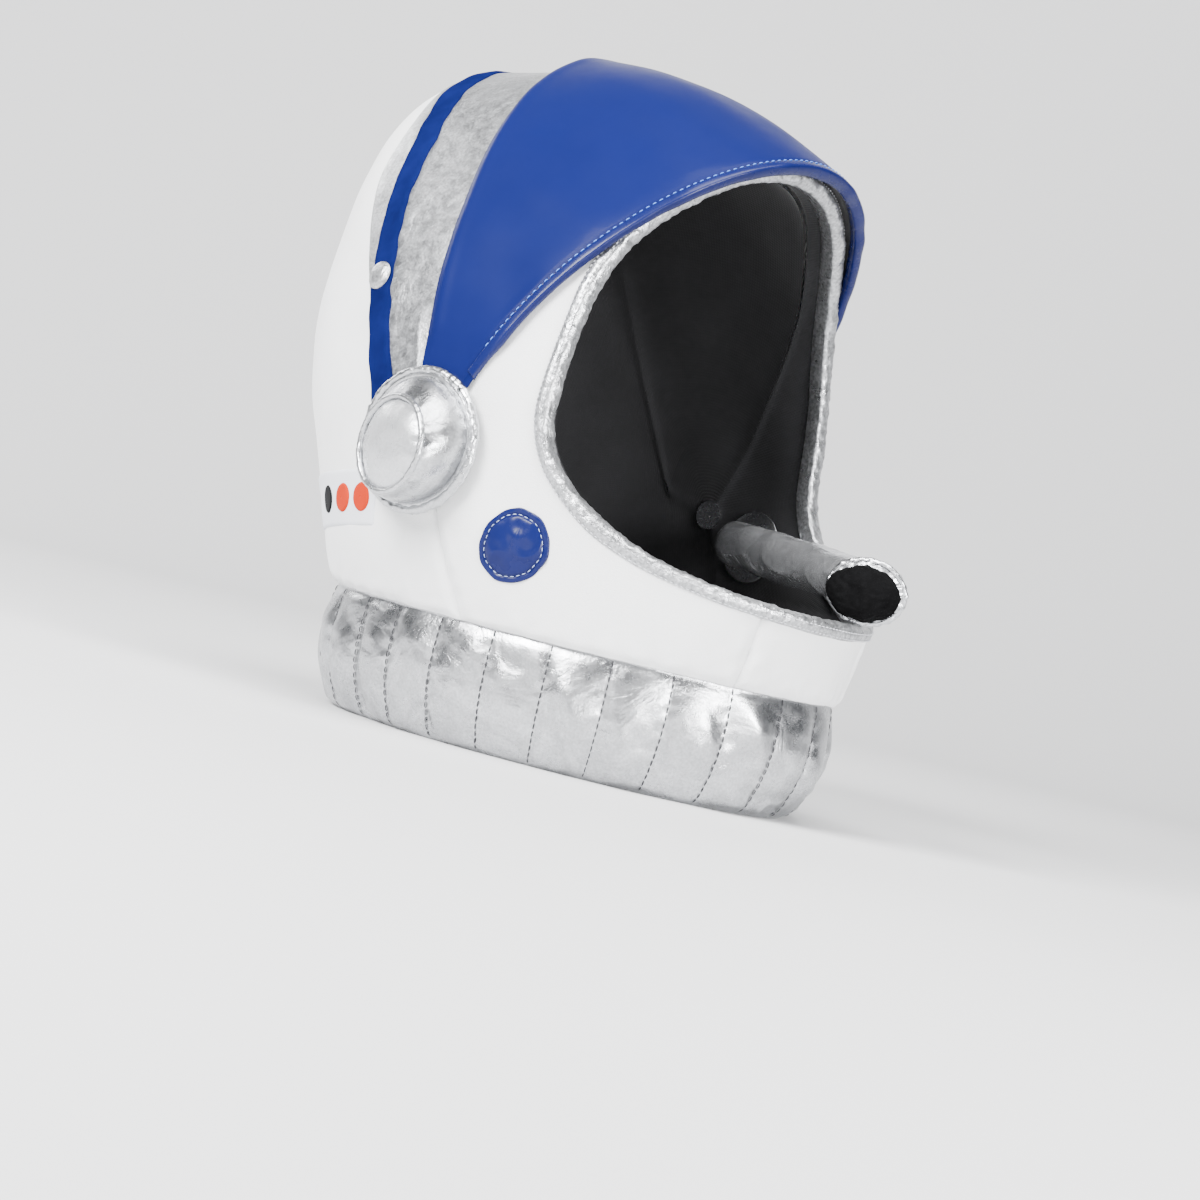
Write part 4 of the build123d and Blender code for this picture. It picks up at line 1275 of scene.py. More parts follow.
def make_cheek_disc(form, side, word):
    """Puffed vinyl disc with a hand-cut outline, drawn in along its ring of stitches."""
    b = prop("bindings")
    ring = 1 - CHEEK_DISC_HEM / b.cheek_patch_radius

    def puffed(s):
        dome = CHEEK_DISC_DOME * np.maximum(0, 1 - (s / ring) ** 2) ** 0.7
        groove = -CHEEK_DISC_GROOVE * fall(s - ring, CHEEK_DISC_GROOVE_SHARE)
        rim = smooth((s - CHEEK_DISC_RIM_SHARE) / (1 - CHEEK_DISC_RIM_SHARE))
        return b.patch_thick + dome + groove - (b.patch_thick + CHEEK_DISC_RIM_SINK) * rim

    p, n = disc_on(form, CHEEK_DISC_PLACE, side, b.cheek_patch_radius, puffed, 56, 150, uneven)
    lift = ripples(p, "cheek disc", side) + creases(p, "cheek disc", side) + foam_waves(p)
    obj = shell("cheek_patch_vinyl_" + word, p + n * lift[..., None], n, THICK["cheek disc"], True)
    made = [finish_piece(obj, "hood", "blue_vinyl", "blue_gloss", ["cheek_patch_" + word])]
    seated = seat(form, CHEEK_DISC_PLACE, side)
    t = np.linspace(0, 2 * math.pi, 200)
    circle = circle_on(seated, ring * b.cheek_patch_radius * uneven(t), t)
    line, normal = on_form(form, circle, seated[1], np.full(len(t), b.patch_thick + CHEEK_THREAD_LIFT))
    line = line + normal * foam_waves(line)[:, None]
    row = stitches("cheek_patch_stitches_" + word, line, normal, pitch=0.0024, radius=0.00017)
    return made + [finish_piece(row, "hood", "blue_vinyl", "pale_thread")]


# Visor


def visor_lines(form, shift=0.0, inset=0.0):
    """Front edge of the visor, moved forward by shift, and its rear edge by inset, on the disc."""
    front = form.cut(chain(side_points(VISOR_FRONT_SHARES), VISOR_FRONT_TILT, shift))
    rear = form.cut(lean_line(VISOR_BACK_TILT, VISOR_BACK_OFFSET + inset))
    return front, rear


# How far past the pods' flange the visor's ends lie flat, and over which width they rise
FLAT_PAST_POD = 0.003
FLAT_PAST_WIDTH = 0.018


def past_pod(p):
    """From 0 under the ear pods to 1 a little outside them, over which the visor's ends lie flat."""
    rim = prop("pods").flange_radius
    return smooth((from_pivots(p) - rim - FLAT_PAST_POD) / FLAT_PAST_WIDTH)


# Visor: steps of its faces' grids, the angle from the ear pole at which they start, and how far
# the lower face stays back from the edges
VISOR_STEPS = {"upper": (170, 96), "lower": (110, 60)}
VISOR_START = 0.075
VISOR_SETBACK = 0.0012

# The share of its ripples that shows, and how far the front edge stays even
VISOR_SOFT_SHARE = 0.8
VISOR_EVEN_EDGE = 0.01

# The groove of its front stitches, depth and width
VISOR_GROOVE = 0.00035
VISOR_GROOVE_WIDTH = 0.0011

# Its rear edge rolls down by a share of its thickness, over a width; the lower face takes part
VISOR_ROLL_SHARE = 0.66
VISOR_ROLL_WIDTH = 0.0020
VISOR_ROLL_POWER = 1.5
VISOR_ROLL_BELOW = 0.2

# The ridge before the rear edge: its height, place and width
VISOR_RIDGE = 0.00035
VISOR_RIDGE_AT = 0.0045
VISOR_RIDGE_WIDTH = 0.003

# Topstitching: how far it lies on the vinyl and behind the edge, where it starts, its steps
VISOR_THREAD_LIFT = 0.0004
VISOR_THREAD_INSET = 0.0031
VISOR_THREAD_START = 0.27
VISOR_THREAD_STEPS = 400


def visor_sheet(upper):
    """Places and normals of the visor's upper or lower face.

    Its lift is the softness of the padding, the stitches' groove, the rolled rear edge and the
    ridge before it; both faces bulge and dip together, but roll towards each other.
    """
    v = prop("visor")
    form = Form.get(v.gap + v.thick, v.ear_gap + v.ear_thick) if upper else Form.get(v.gap, v.ear_gap)
    back = 0.0 if upper else VISOR_SETBACK
    steps = VISOR_STEPS["upper" if upper else "lower"]
    p, n = over_crown(form, fan(*visor_lines(form, -back, back), VISOR_START, *steps))
    front, rear = edge_distance(p, (0,)), edge_distance(p, (1,))
    thick = v.ear_thick + (v.thick - v.ear_thick) * (1 - (p[..., 1] / form.half) ** 2)
    clear = past_pod(p)
    soft = ripples(p, "visor") * clear * smooth(front / VISOR_EVEN_EDGE) * VISOR_SOFT_SHARE
    groove = -VISOR_GROOVE * fall(front - v.hem, VISOR_GROOVE_WIDTH)
    roll = -VISOR_ROLL_SHARE * thick * fall(rear, VISOR_ROLL_WIDTH, VISOR_ROLL_POWER) * clear
    ridge = VISOR_RIDGE * fall(rear - VISOR_RIDGE_AT, VISOR_RIDGE_WIDTH) * clear
    if upper:
        lift = soft + groove + roll + ridge - v.tuck * (1 - clear)
    else:
        lift = soft - groove - roll * VISOR_ROLL_BELOW - ridge
    return p + n * lift[..., None], n


def make_visor():
    """Padded visor of glossy vinyl, black underneath, with a bound and topstitched front edge."""
    v = prop("visor")
    p, n = visor_sheet(True)
    obj = shell("visor_cover_vinyl", p, n, THICK["visor"])
    nodes = ["visor_cover", "visor_foam"]
    made = [finish_piece(obj, "visor", "blue_vinyl", stands_for=nodes)]
    p, n = visor_sheet(False)
    obj = shell("visor_lining_cloth", p, -n, THICK["visor lining"])
    made.append(finish_piece(obj, "visor", "black_lining", stands_for=["visor_lining"]))
    made.append(make_visor_edge())
    form = Form.get(v.gap + v.thick + VISOR_THREAD_LIFT, v.ear_gap + v.ear_thick + VISOR_THREAD_LIFT)
    flat, _ = visor_lines(form, -VISOR_THREAD_INSET)
    line, normal = over_crown(form, wheel(*turned(flat, VISOR_THREAD_START, VISOR_THREAD_STEPS))[None])
    row = stitches("visor_edge_stitches", line[0], normal[0], pitch=0.0030, radius=0.00024)
    made.append(finish_piece(row, "visor", "blue_vinyl", "blue_thread"))
    return made


# Binding of the visor's front edge: its shift in hems and its rise, on the upper and lower face;
# how far its nose stands forward and rises; the angles from the ear pole at which it starts and
# over which it grows to its full size; its steps
EDGE_ABOVE = ((-1.0, -0.0002), (-0.92, 0.00035), (-0.6, 0.0005), (-0.25, 0.0006))
EDGE_BELOW = ((-0.4, 0.0005), (-0.9, 0.0003), (-1.0, -0.0002))
EDGE_NOSE = 0.0012
EDGE_NOSE_RISE = 0.0006
EDGE_START = 0.20
EDGE_GROWS_OVER = 0.14
EDGE_STEPS = 280


def make_visor_edge():
    """Binding of the visor's front edge: folded over both faces, with a rounded nose.

    It thins to nothing towards the ears, where it runs in under the pods.
    """
    v = prop("visor")
    turn = np.linspace(0, math.pi, 11)
    profile = ([(v.hem * shift, rise, 0.0) for shift, rise in EDGE_ABOVE]
               + [(EDGE_NOSE * math.sin(a), EDGE_NOSE_RISE, (1 - math.cos(a)) / 2) for a in turn]
               + [(v.hem * shift, rise, 1.0) for shift, rise in EDGE_BELOW])

    def row(shift, rise, part):
        grow = v.gap - rise + (v.thick + 2 * rise) * (1 - part)
        ear = v.ear_gap - rise + (v.ear_thick + 2 * rise) * (1 - part)
        form = Form.get(grow, ear)
        flat, _ = visor_lines(form, shift)
        at, way = turned(flat, EDGE_START, EDGE_STEPS)
        p, n = over_crown(form, wheel(at, way)[None])
        return p[0], n[0], smooth((np.concatenate([at, at[-2::-1]]) - EDGE_START) / EDGE_GROWS_OVER)

    full = [row(*place) for place in profile]
    flat = [row(min(shift, 0.0), 0.0, part) for shift, _, part in profile]
    grown = full[0][2]
    p = np.stack([a[0] * grown[:, None] + b[0] * (1 - grown[:, None]) for a, b in zip(full, flat)])
    n = grid_normals(p)
    n = turned_out(n, n[2], full[2][1])
    across = np.sin(np.linspace(0, math.pi, len(p)))[:, None]
    lift = across * ripples(p, "visor edge") * grown[None]
    obj = shell("visor_edge_vinyl", p + n * lift[..., None], n, THICK["visor edge"])
    return finish_piece(obj, "visor", "blue_vinyl", "blue_gloss", ["visor_edge_binding"])


# Ear pods


def stacked(*parts):
    """Coordinates of different shapes as one grid of places."""
    return np.stack(np.broadcast_arrays(*parts), -1)


def turn_up(side, radius, height, angle):
    """Points at a radius and height on the pivot line of one ear."""
    h = prop("hood")
    return stacked(radius * np.cos(angle) - h.pivot_back, side * height,
                   radius * np.sin(angle) + h.pivot_height)


def slump(points, side, part):
    """Places of a soft pod moved as its stuffing settles: down, and turned to face back, by part."""
    p, h = prop("pods"), prop("hood")
    out = p.cap_turn * (points[..., 0] + h.pivot_back) / p.drum_top_radius
    return points + stacked(0.0, side * out, -p.cap_sag) * np.asarray(part)[..., None]


# Pods: points round them, how far they stand off the visor's end, and how far their pipings sit
# from the rims, with the radius of their cords
POD_TURNS = 240
POD_OFF_VISOR = 0.0026
FLANGE_PIPING_SINK = 0.0004
FLANGE_CORD = 0.0018
CAP_PIPING_RISE = 0.0003
CAP_CORD = 0.0012

# Flange: its inner rim as a share of the drum, rows, swell between drum and rim
FLANGE_INNER_SHARE = 0.72
FLANGE_ROWS = 26
FLANGE_SWELL = 0.0007

# Drum: rows, how far it puffs out, how deep its foot and how high its top go past its rims, the
# height of its puckers and how far they reach from foot and top as shares of it
DRUM_ROWS = 60
DRUM_PUFF = 0.0022
DRUM_FOOT_SINK = 0.0004
DRUM_TOP_RISE = 0.0002
DRUM_PUCKER = 0.00016
DRUM_PUCKER_REACH = (0.22, 0.2)


def make_pod(side, word):
    """Ear pod: dished ring on the visor's end, tapering drum, domed cap, piping at both rims."""
    p, v = prop("pods"), prop("visor")
    ear = v.ear_gap + v.ear_thick + POD_OFF_VISOR
    form = Form.get(v.gap + v.thick + POD_OFF_VISOR, ear)
    base = prop("hood").half_width + ear
    shoulder = base + p.drum_height
    radii = np.linspace(p.drum_radius * FLANGE_INNER_SHARE, p.flange_radius, FLANGE_ROWS)
    radius, angle = polar(radii, POD_TURNS)
    q, n = on_form(form, turn_up(side, radius, base, angle), np.array([0.0, float(side), 0.0]))
    rim = (radius - p.drum_radius) / (p.flange_radius - p.drum_radius)
    lift = FLANGE_SWELL * np.sin(np.clip(rim, 0, 1) * math.pi) + ripples(q, "pod flange")
    obj = shell("pod_flange_cloth_" + word, q + n * lift[..., None], n, THICK["pod"], True)
    made = [finish_piece(obj, "hood", "silver_lame", stands_for=["pod_flange_" + word])]
    made.append(piping("flange", side, word, q[-1] - n[-1] * FLANGE_PIPING_SINK, FLANGE_CORD))
    made.append(make_drum(side, word, form, base, shoulder))
    top = turn_up(side, p.drum_top_radius, shoulder + CAP_PIPING_RISE, around(POD_TURNS))
    made.append(piping("cap", side, word, slump(top, side, 1.0), CAP_CORD))
    made.append(make_cap(side, word, shoulder))
    return made


def make_drum(side, word, form, base, shoulder):
    """Tapering drum from the flange up to the cap, puffed out by a sine, puckered at both ends."""
    p = prop("pods")
    k = np.linspace(0, 1, DRUM_ROWS)[:, None]
    angle = around(POD_TURNS)[None]
    puff = DRUM_PUFF * np.sin(math.pi * k) ** 0.8
    radius = p.drum_radius + (p.drum_top_radius - p.drum_radius) * k + puff
    foot = turn_up(side, p.drum_radius, base, angle)
    foot, _ = on_form(form, foot, np.array([0.0, float(side), 0.0]))
    foot = side * foot[..., 1] - DRUM_FOOT_SINK
    q = turn_up(side, radius, foot + (shoulder + DRUM_TOP_RISE - foot) * k, angle)
    out = np.broadcast_to(stacked(np.cos(angle), 0.0, np.sin(angle)), q.shape)
    ends = fall(k, DRUM_PUCKER_REACH[0]) + fall(1 - k, DRUM_PUCKER_REACH[1])
    pucker = DRUM_PUCKER * np.sin(angle * 23 + 1.3 * np.sin(angle * 3) + side) * ends
    lift = pucker + p.crinkle * creases(q, "pod drum") + ripples(q, "pod drum")
    q = slump(q + out * lift[..., None], side, smooth(k))
    obj = shell("pod_drum_cloth_" + word, q, out, THICK["pod"], True)
    nodes = ["pod_drum_" + word, "pod_stuffing_" + word]
    return finish_piece(obj, "hood", "silver_lame", "silver_quilt", nodes)


# Cap: how far it stays inside the drum, its rings as shares of its radius, how blunt its dome is,
# how far and wide its rim is drawn in, the height and width of its gathers
CAP_INSET = 0.0010
CAP_RINGS = np.concatenate([[0.012], np.linspace(0.05, 1, 44)])
CAP_BLUNTNESS = 2.2
CAP_DRAWN_IN = 0.0004
CAP_DRAWN_WIDTH = 0.06
CAP_GATHER = 0.00008
CAP_GATHER_WIDTH = 0.16


def make_cap(side, word, shoulder):
    """Domed cap of the pod, gathered a little inside its piping."""
    p = prop("pods")
    radius, angle = polar((p.drum_top_radius - CAP_INSET) * CAP_RINGS, POD_TURNS)
    k = CAP_RINGS[:, None]
    height = shoulder + p.cap_rise * (1 - k ** CAP_BLUNTNESS) - CAP_DRAWN_IN * fall(1 - k, CAP_DRAWN_WIDTH)
    q = turn_up(side, radius, height, angle)
    way = np.array([0.0, float(side), 0.0])
    rim = fall(1 - k, CAP_GATHER_WIDTH)
    gather = CAP_GATHER * np.sin(angle * 19 + 2 * np.sin(angle * 2)) * rim
    lift = gather + p.crinkle * creases(q, "pod cap", side) * (1 - rim) + ripples(q, "pod cap")
    q = slump(q + way * lift[..., None], side, 1.0)
    middle = q[0].mean(0)
    flip = not outward(q, np.broadcast_to(way, q.shape))
    faces = quads(len(q), POD_TURNS, 0, True, flip).tolist()
    faces += end_fan(len(q) * POD_TURNS, np.arange(POD_TURNS), False, flip)
    uv = np.concatenate([(q - middle)[..., [0, 2]].reshape(-1, 2), [[0.0, 0.0]]])
    verts = np.concatenate([q.reshape(-1, 3), middle[None]])
    obj = put("pod_cap_cloth_" + word, verts, faces, uv)
    return finish_piece(obj, "hood", "silver_lame", "silver_cap", ["pod_cap_" + word])


PIPING_SIDES = 16


def cord(across, up):
    """Ways round a cord: at each point of its line a circle between the ways across and up."""
    t = around(PIPING_SIDES)[:, None, None]
    return np.cos(t) * across + np.sin(t) * up


def piping(part, side, word, line, radius):
    """Corded piping along a closed line: a tube with soft twists in its cloth."""
    way = unit(np.roll(line, -1, 0) - np.roll(line, 1, 0))
    across = unit(np.cross(way, [0.0, float(side), 0.0]))
    ring = cord(across, np.cross(across, way))
    p = line[None] + radius * ring
    p = p + ring * ripples(p, part + " piping")[..., None]
    obj = torus_mesh("pod_%s_piping_cloth_%s" % (part, word), p)
    return finish_piece(obj, "hood", "silver_lame", stands_for=["pod_%s_piping_%s" % (part, word)])


def torus_mesh(name, p):
    """Object of a grid closed both ways, its faces outward."""
    rows, cols, _ = p.shape
    i, j = np.meshgrid(np.arange(rows), np.arange(cols), indexing="ij")
    a, b = (i + 1) % rows, (j + 1) % cols
    faces = np.stack([i * cols + j, i * cols + b, a * cols + b, a * cols + j], -1).reshape(-1, 4)
    middle = p.mean(0)
    n = np.cross(p[0, 1] - p[0, 0], p[1, 0] - p[0, 0])
    if float(n @ (p[0, 0] - middle[0])) < 0:
        faces = faces[:, ::-1]
    return put(name, p, faces, along_grid(p))


# Collar


# Angles of the side view at which the neck's outline is worked out, and how far they stay off level
NECK_ANGLES = 4000
NECK_OFF_LEVEL = 0.0001


def neck_ring(form, count):
    """Outline of a form at the collar's top as a closed ring from the front, right side first.

    In each direction down from the pivots the top is met at the drop over the direction's sine,
    and the form's oval gives how far out to the side that is.
    """
    h = prop("hood")
    drop = prop("collar").height - h.pivot_height
    direction = np.linspace(-NECK_OFF_LEVEL, -math.pi + NECK_OFF_LEVEL, NECK_ANGLES)
    r = np.interp(direction, form.t, form.r)
    rho = drop / np.sin(direction)
    inside = (rho > 0) & (rho < r)
    x = rho[inside] * np.cos(direction[inside])
    y = form.half * np.sqrt(np.maximum(0, 1 - (rho[inside] / r[inside]) ** 2))
    x = np.concatenate([[x[0] + (x[0] - x[1]) * 0.5], x, [x[-1]]])
    y = np.concatenate([[0.0], y, [0.0]])
    half = np.stack([x - h.pivot_back, -y], -1)
    ring = np.concatenate([half, (half * [1, -1])[-2:0:-1]])
    ring = np.concatenate([ring, ring[:1]])
    run = run_of(ring)
    return along(ring, run, np.arange(count) / count * run[-1])


# Collar: columns to a channel, and its rows as shares of its height, closer at the foot
COLLAR_COLS = 26
COLLAR_ROWS = np.concatenate([np.linspace(0, 0.03, 5)[:-1], np.linspace(0.03, 1.03, 68)])

# How far foot and top are drawn in, each with its width as a share of the height
COLLAR_FOOT_IN = (0.0022, 0.035)
COLLAR_TOP_IN = (0.0006, 0.05)

# Reach of the foot's creases, and the small wrinkles that run out from each seam: height, number
# to a metre, and reach as a share of a channel
COLLAR_FOOT_CREASE_REACH = 0.30
COLLAR_WRINKLE = 0.00014
COLLAR_WRINKLE_RATE = 900
COLLAR_WRINKLE_REACH = 0.16

# Lining: rows, how far it lies inside the ring and above the table, how deep its channels are
COLLAR_LINING_ROWS = 40
COLLAR_LINING_INSET = 0.0052
COLLAR_LINING_FOOT = 0.0004
COLLAR_LINING_DEPTH = 0.0006
COLLAR_LINING_MEAN = 0.6


def make_collar():
    """Quilted collar: puffed channels between stitched seams, drawn in at both edges.

    Each channel's crest is a sine round the ring to a power, and its puff a sine over the height.
    """
    c = prop("collar")
    ring = neck_ring(Form.get(-c.setback), c.channels * COLLAR_COLS)
    channel = np.arange(len(ring)) / COLLAR_COLS + 0.5
    part, number = channel % 1.0, np.floor(channel)
    size = np.hypot(*ring.T)
    way = ring / size[:, None]
    crest = np.abs(np.sin(math.pi * part)) ** 0.85
    k = COLLAR_ROWS[:, None]
    up = np.clip(k, 0, 1)
    draw = np.maximum(np.sin(math.pi * up ** 0.8), 0) ** 0.8
    variation = 1 + 0.16 * np.sin(number * 2.3) + 0.1 * np.sin(number * 5.1)
    belly = c.bulge * np.sin(math.pi * up ** 0.85) ** 1.1
    (foot, foot_width), (top, top_width) = COLLAR_FOOT_IN, COLLAR_TOP_IN
    drawn_in = -foot * fall(k, foot_width) - top * fall(1 - k, top_width)
    radial = size - c.taper * (1 - k) + c.puff * crest * draw * variation + drawn_in + belly
    p = stacked(radial * way[:, 0], radial * way[:, 1], c.height * k)
    n = np.broadcast_to(stacked(way[:, 0], way[:, 1], 0.0), p.shape)
    even = smooth(k / 0.08) * smooth((1 - k) / 0.3)
    slant = p * [1.0, 1.0, 0.6] + 0.4 * p[..., [2, 2, 0]]
    crinkles = (ripples(slant, "collar") + creases(slant, "collar") + ripples(p, "collar cloth")
                + creases(slant, "collar foot") * fall(k, COLLAR_FOOT_CREASE_REACH)) * crest ** 0.4
    wrinkles = (COLLAR_WRINKLE * np.sin(p[..., 2] * COLLAR_WRINKLE_RATE + 3 * np.sin(number) + 4 * part)
                * fall(np.minimum(part, 1 - part), COLLAR_WRINKLE_REACH))
    p = p + n * ((crinkles + wrinkles) * even)[..., None]
    obj = shell("collar_quilt_cloth", p, n, THICK["collar"], True)
    nodes = ["collar_quilt", "collar_batting"]
    made = [finish_piece(obj, "hood", "silver_lame", "silver_quilt", nodes)]
    seams = []
    for seam in range(c.channels):
        column = int((seam + 0.5) * COLLAR_COLS) % len(ring)
        seams.append(thread_bars(p[3:-2, column], n[3:-2, column], pitch=0.0030, part=0.80,
                                 radius=0.00024, bury=-0.00028))
    made.append(finish_piece(put("collar_seam_stitches", *joined(seams)), "hood", "silver_lame",
                             "black_thread"))
    made.append(make_collar_lining(size, way, crest))
    return made


def make_collar_lining(size, way, crest):
    """Black sheet inside the collar, a little hollow behind each channel."""
    c = prop("collar")
    k = np.linspace(0, 1, COLLAR_LINING_ROWS)[:, None]
    radial = size - c.taper * (1 - k) - COLLAR_LINING_INSET
    p = stacked(radial * way[:, 0], radial * way[:, 1], np.maximum(c.height * k, COLLAR_LINING_FOOT))
    n = np.broadcast_to(stacked(-way[:, 0], -way[:, 1], 0.0), p.shape)
    lift = ripples(p, "collar lining") + COLLAR_LINING_DEPTH * (crest - COLLAR_LINING_MEAN)
    obj = shell("collar_lining_cloth", p + n * lift[..., None], n, THICK["collar lining"], True)
    return finish_piece(obj, "hood", "black_lining", stands_for=["collar_lining"])


# Microphone

BOOM = ((0.0043, 0.0855, 0.1010), (0.0043, 0.0740, 0.1010), (0.0583, 0.0599, 0.0983),
        (0.0942, 0.0380, 0.0968), (0.1128, 0.0190, 0.0950))
BOOM_BENDS = (0.013, 0.045, 0.030)
HEAD_WAY = (0.355, -0.925, -0.139)
HEAD_LEVEL = (0.934, 0.358, 0.0)
CUP_BACK_SHARES = ((0.55, 0.0), (0.86, 0.28), (1.0, 0.72), (1.0, 1.0))


def bent_path(points, bends, count):
    """Points along a broken line whose corners are rounded by arcs, at even steps."""
    p = np.asarray(points, float)
    line = [p[:1]]
    for a, b, c, bend in zip(p[:-2], p[1:-1], p[2:], bends):
        back, on = unit(a - b), unit(c - b)
        half = math.acos(np.clip(back @ on, -1, 1)) / 2
        reach = bend / math.tan(half)
        centre = b + unit(back + on) * bend / math.sin(half)
        start, end = b + back * reach - centre, b + on * reach - centre
        span = math.acos(np.clip(start @ end / bend ** 2, -1, 1))
        f = np.linspace(0, 1, 24)[:, None]
        line.append(centre + (start * np.sin((1 - f) * span) + end * np.sin(f * span)) / math.sin(span))
    return spread(np.concatenate(line + [p[-1:]]), count)


# Boom: steps of its path and how many come before the cup, points round it, the angle round it
# where its seam runs, how deep the seam's thread lies, and the height of its cross creases
BOOM_STEPS = 300
BOOM_KEPT = 289
BOOM_SIDES = 96
BOOM_SEAM_ANGLE = 2.6
BOOM_SEAM_SINK = 0.0001
BOOM_CREASE = 0.0006


def make_boom():
    """Stuffed boom: creased across where it bends, gathered where it is sewn on."""
    radius = prop("pods").boom_radius
    path = bent_path(BOOM, BOOM_BENDS, BOOM_STEPS)[:BOOM_KEPT]
    way = unit(np.gradient(path, axis=0))
    across = unit(np.cross(way, [0.0, 0.0, 1.0]))
    up = np.cross(across, way)
    t = around(BOOM_SIDES)
    ring = np.cos(t)[None, :, None] * across[:, None] + np.sin(t)[None, :, None] * up[:, None]
    p = path[:, None] + radius * ring
    run = np.linspace(0, 1, len(path))[:, None]
    inside = np.maximum(0, np.cos(t - BOOM_SEAM_ANGLE)) ** 1.5
    crossing = BOOM_CREASE * np.sin(run * 150 + 1.7 * np.sin(t * 2) + 2 * np.sin(run * 23)) * inside
    lift = crossing * smooth(run / 0.06) + creases(p, "boom") + ripples(p, "boom")
    obj = tube_mesh("mic_boom_cloth", p + ring * lift[..., None])
    nodes = ["mic_sleeve", "mic_stuffing", "mic_wire"]
    made = [finish_piece(obj, "microphone", "silver_lame", "silver_bright", nodes)]
    normal = math.cos(BOOM_SEAM_ANGLE) * across + math.sin(BOOM_SEAM_ANGLE) * up
    line = path + (radius - BOOM_SEAM_SINK) * normal
    row = stitches("mic_boom_seam", line[20:-4], normal[20:-4], pitch=0.0034, radius=0.00026)
    made.append(finish_piece(row, "microphone", "silver_lame", "silver_thread"))
    return made


def head_point(width, tall, depth, angle):
    """Points of the microphone head: an oval at a depth along its facing direction."""
    facing = unit(np.array(HEAD_WAY))
    level = unit(np.array(HEAD_LEVEL) - facing * np.dot(HEAD_LEVEL, facing))
    along_level, along_rise = np.asarray(width * np.cos(angle)), np.asarray(tall * np.sin(angle))
    return (np.array(BOOM[-1]) + np.asarray(depth)[..., None] * facing
            + along_level[..., None] * level + along_rise[..., None] * np.cross(facing, level))


def row_curve(shares, count):
    """Smooth values between a few shares, at even steps of their run: each becomes the mean of
    itself and the middle of its neighbours, again and again."""
    soft = spread(np.asarray(shares, float), count)
    for _ in range(int(count * 0.6)):
        soft[1:-1] = (soft[:-2] + 2 * soft[1:-1] + soft[2:]) / 4
    return soft


# Microphone head: half width, half height and depth of its cup, points round it
HEAD_WIDE = 0.0155
HEAD_TALL = 0.0125
HEAD_DEPTH = 0.015
HEAD_TURNS = 160

# Cup: rows, height of its gathers and how far they and its even rim reach as shares of the depth
CUP_ROWS = 50
CUP_GATHER = 0.0004
CUP_GATHER_REACH = 0.25
CUP_EVEN_RIM = 0.2

# Cup piping: how far its cord lies inside the rim and behind it, and the cord's radius
CUP_PIPING_INSET = 0.0004
CUP_PIPING_BACK = 0.0010
CUP_CORD = 0.0012

# Pad: half width and height, rise of its dome over the cup, how deep it starts, and how far it
# leans to the side and down
PAD_WIDE = 0.0138
PAD_TALL = 0.0108
PAD_RISE = 0.0094
PAD_SINK = 0.0006
PAD_LEAN = 0.0018
PAD_DROP = 0.0007


def make_cup():
    """Creased silver cup, gathered towards its rim."""
    angle = around(HEAD_TURNS)[None]
    curve = row_curve(CUP_BACK_SHARES, CUP_ROWS)
    size, part = curve[:, :1], curve[:, 1:]
    p = head_point(size * HEAD_WIDE, size * HEAD_TALL, (part - 0.5) * HEAD_DEPTH, angle)
    n = grid_normals(p, True)
    n = turned_out(n, n, p - p.mean(1, keepdims=True))
    gather = CUP_GATHER * np.sin(angle * 17 + np.sin(angle * 3)) * fall(1 - part, CUP_GATHER_REACH)
    lift = (creases(p, "cup") + ripples(p, "cup")) * smooth((1 - part) / CUP_EVEN_RIM) + gather
    obj = tube_mesh("mic_cup_cloth", p + n * lift[..., None])
    nodes = ["mic_cup", "mic_cup_filling"]
    return finish_piece(obj, "microphone", "silver_lame", "silver_bright", nodes)


def make_cup_piping():
    """Corded piping round the cup's rim."""
    facing = unit(np.array(HEAD_WAY))
    edge = head_point(HEAD_WIDE - CUP_PIPING_INSET, HEAD_TALL - CUP_PIPING_INSET, HEAD_DEPTH / 2,
                      around(HEAD_TURNS))
    ring = cord(unit(edge - head_point(0.0, 0.0, HEAD_DEPTH / 2, 0.0)), facing)
    p = edge[None] - CUP_PIPING_BACK * facing + CUP_CORD * ring
    obj = torus_mesh("mic_cup_piping_cloth", p + ring * ripples(p, "cup piping")[..., None])
    return finish_piece(obj, "microphone", "silver_lame", stands_for=["mic_cup_piping"])


def make_pad():
    """Soft black pad in the cup: a dome that leans to the side and down a little."""
    dome = np.linspace(0, math.pi / 2 * 0.97, 44)[:, None]
    size, height = np.cos(dome) ** 0.62, HEAD_DEPTH / 2 + PAD_RISE * np.sin(dome) - PAD_SINK
    p = head_point(size * PAD_WIDE, size * PAD_TALL, height, around(HEAD_TURNS)[None])
    p = p - np.array(HEAD_LEVEL) * PAD_LEAN * smooth(dome / 0.5)[..., None] - np.array([0, 0, PAD_DROP])
    n = grid_normals(p, True)
    n = turned_out(n, n, p - head_point(0.0, 0.0, HEAD_DEPTH / 2, 0.0))
    obj = tube_mesh("mic_pad_felt", p + n * ripples(p, "pad")[..., None])
    return finish_piece(obj, "microphone", "black_felt", stands_for=["mic_pad"])


def make_head():
    """Microphone head: creased silver cup, piped rim and the soft black pad in it."""
    return [make_cup(), make_cup_piping(), make_pad()]


# Root patch: its radius, how far it lies off the wall, how far its rim turns in and from which share
ROOT_PATCH_RADIUS = 0.0150
ROOT_PATCH_OFF = 0.0006
ROOT_PATCH_RIM = 0.0005
ROOT_PATCH_RIM_SHARE = 0.9


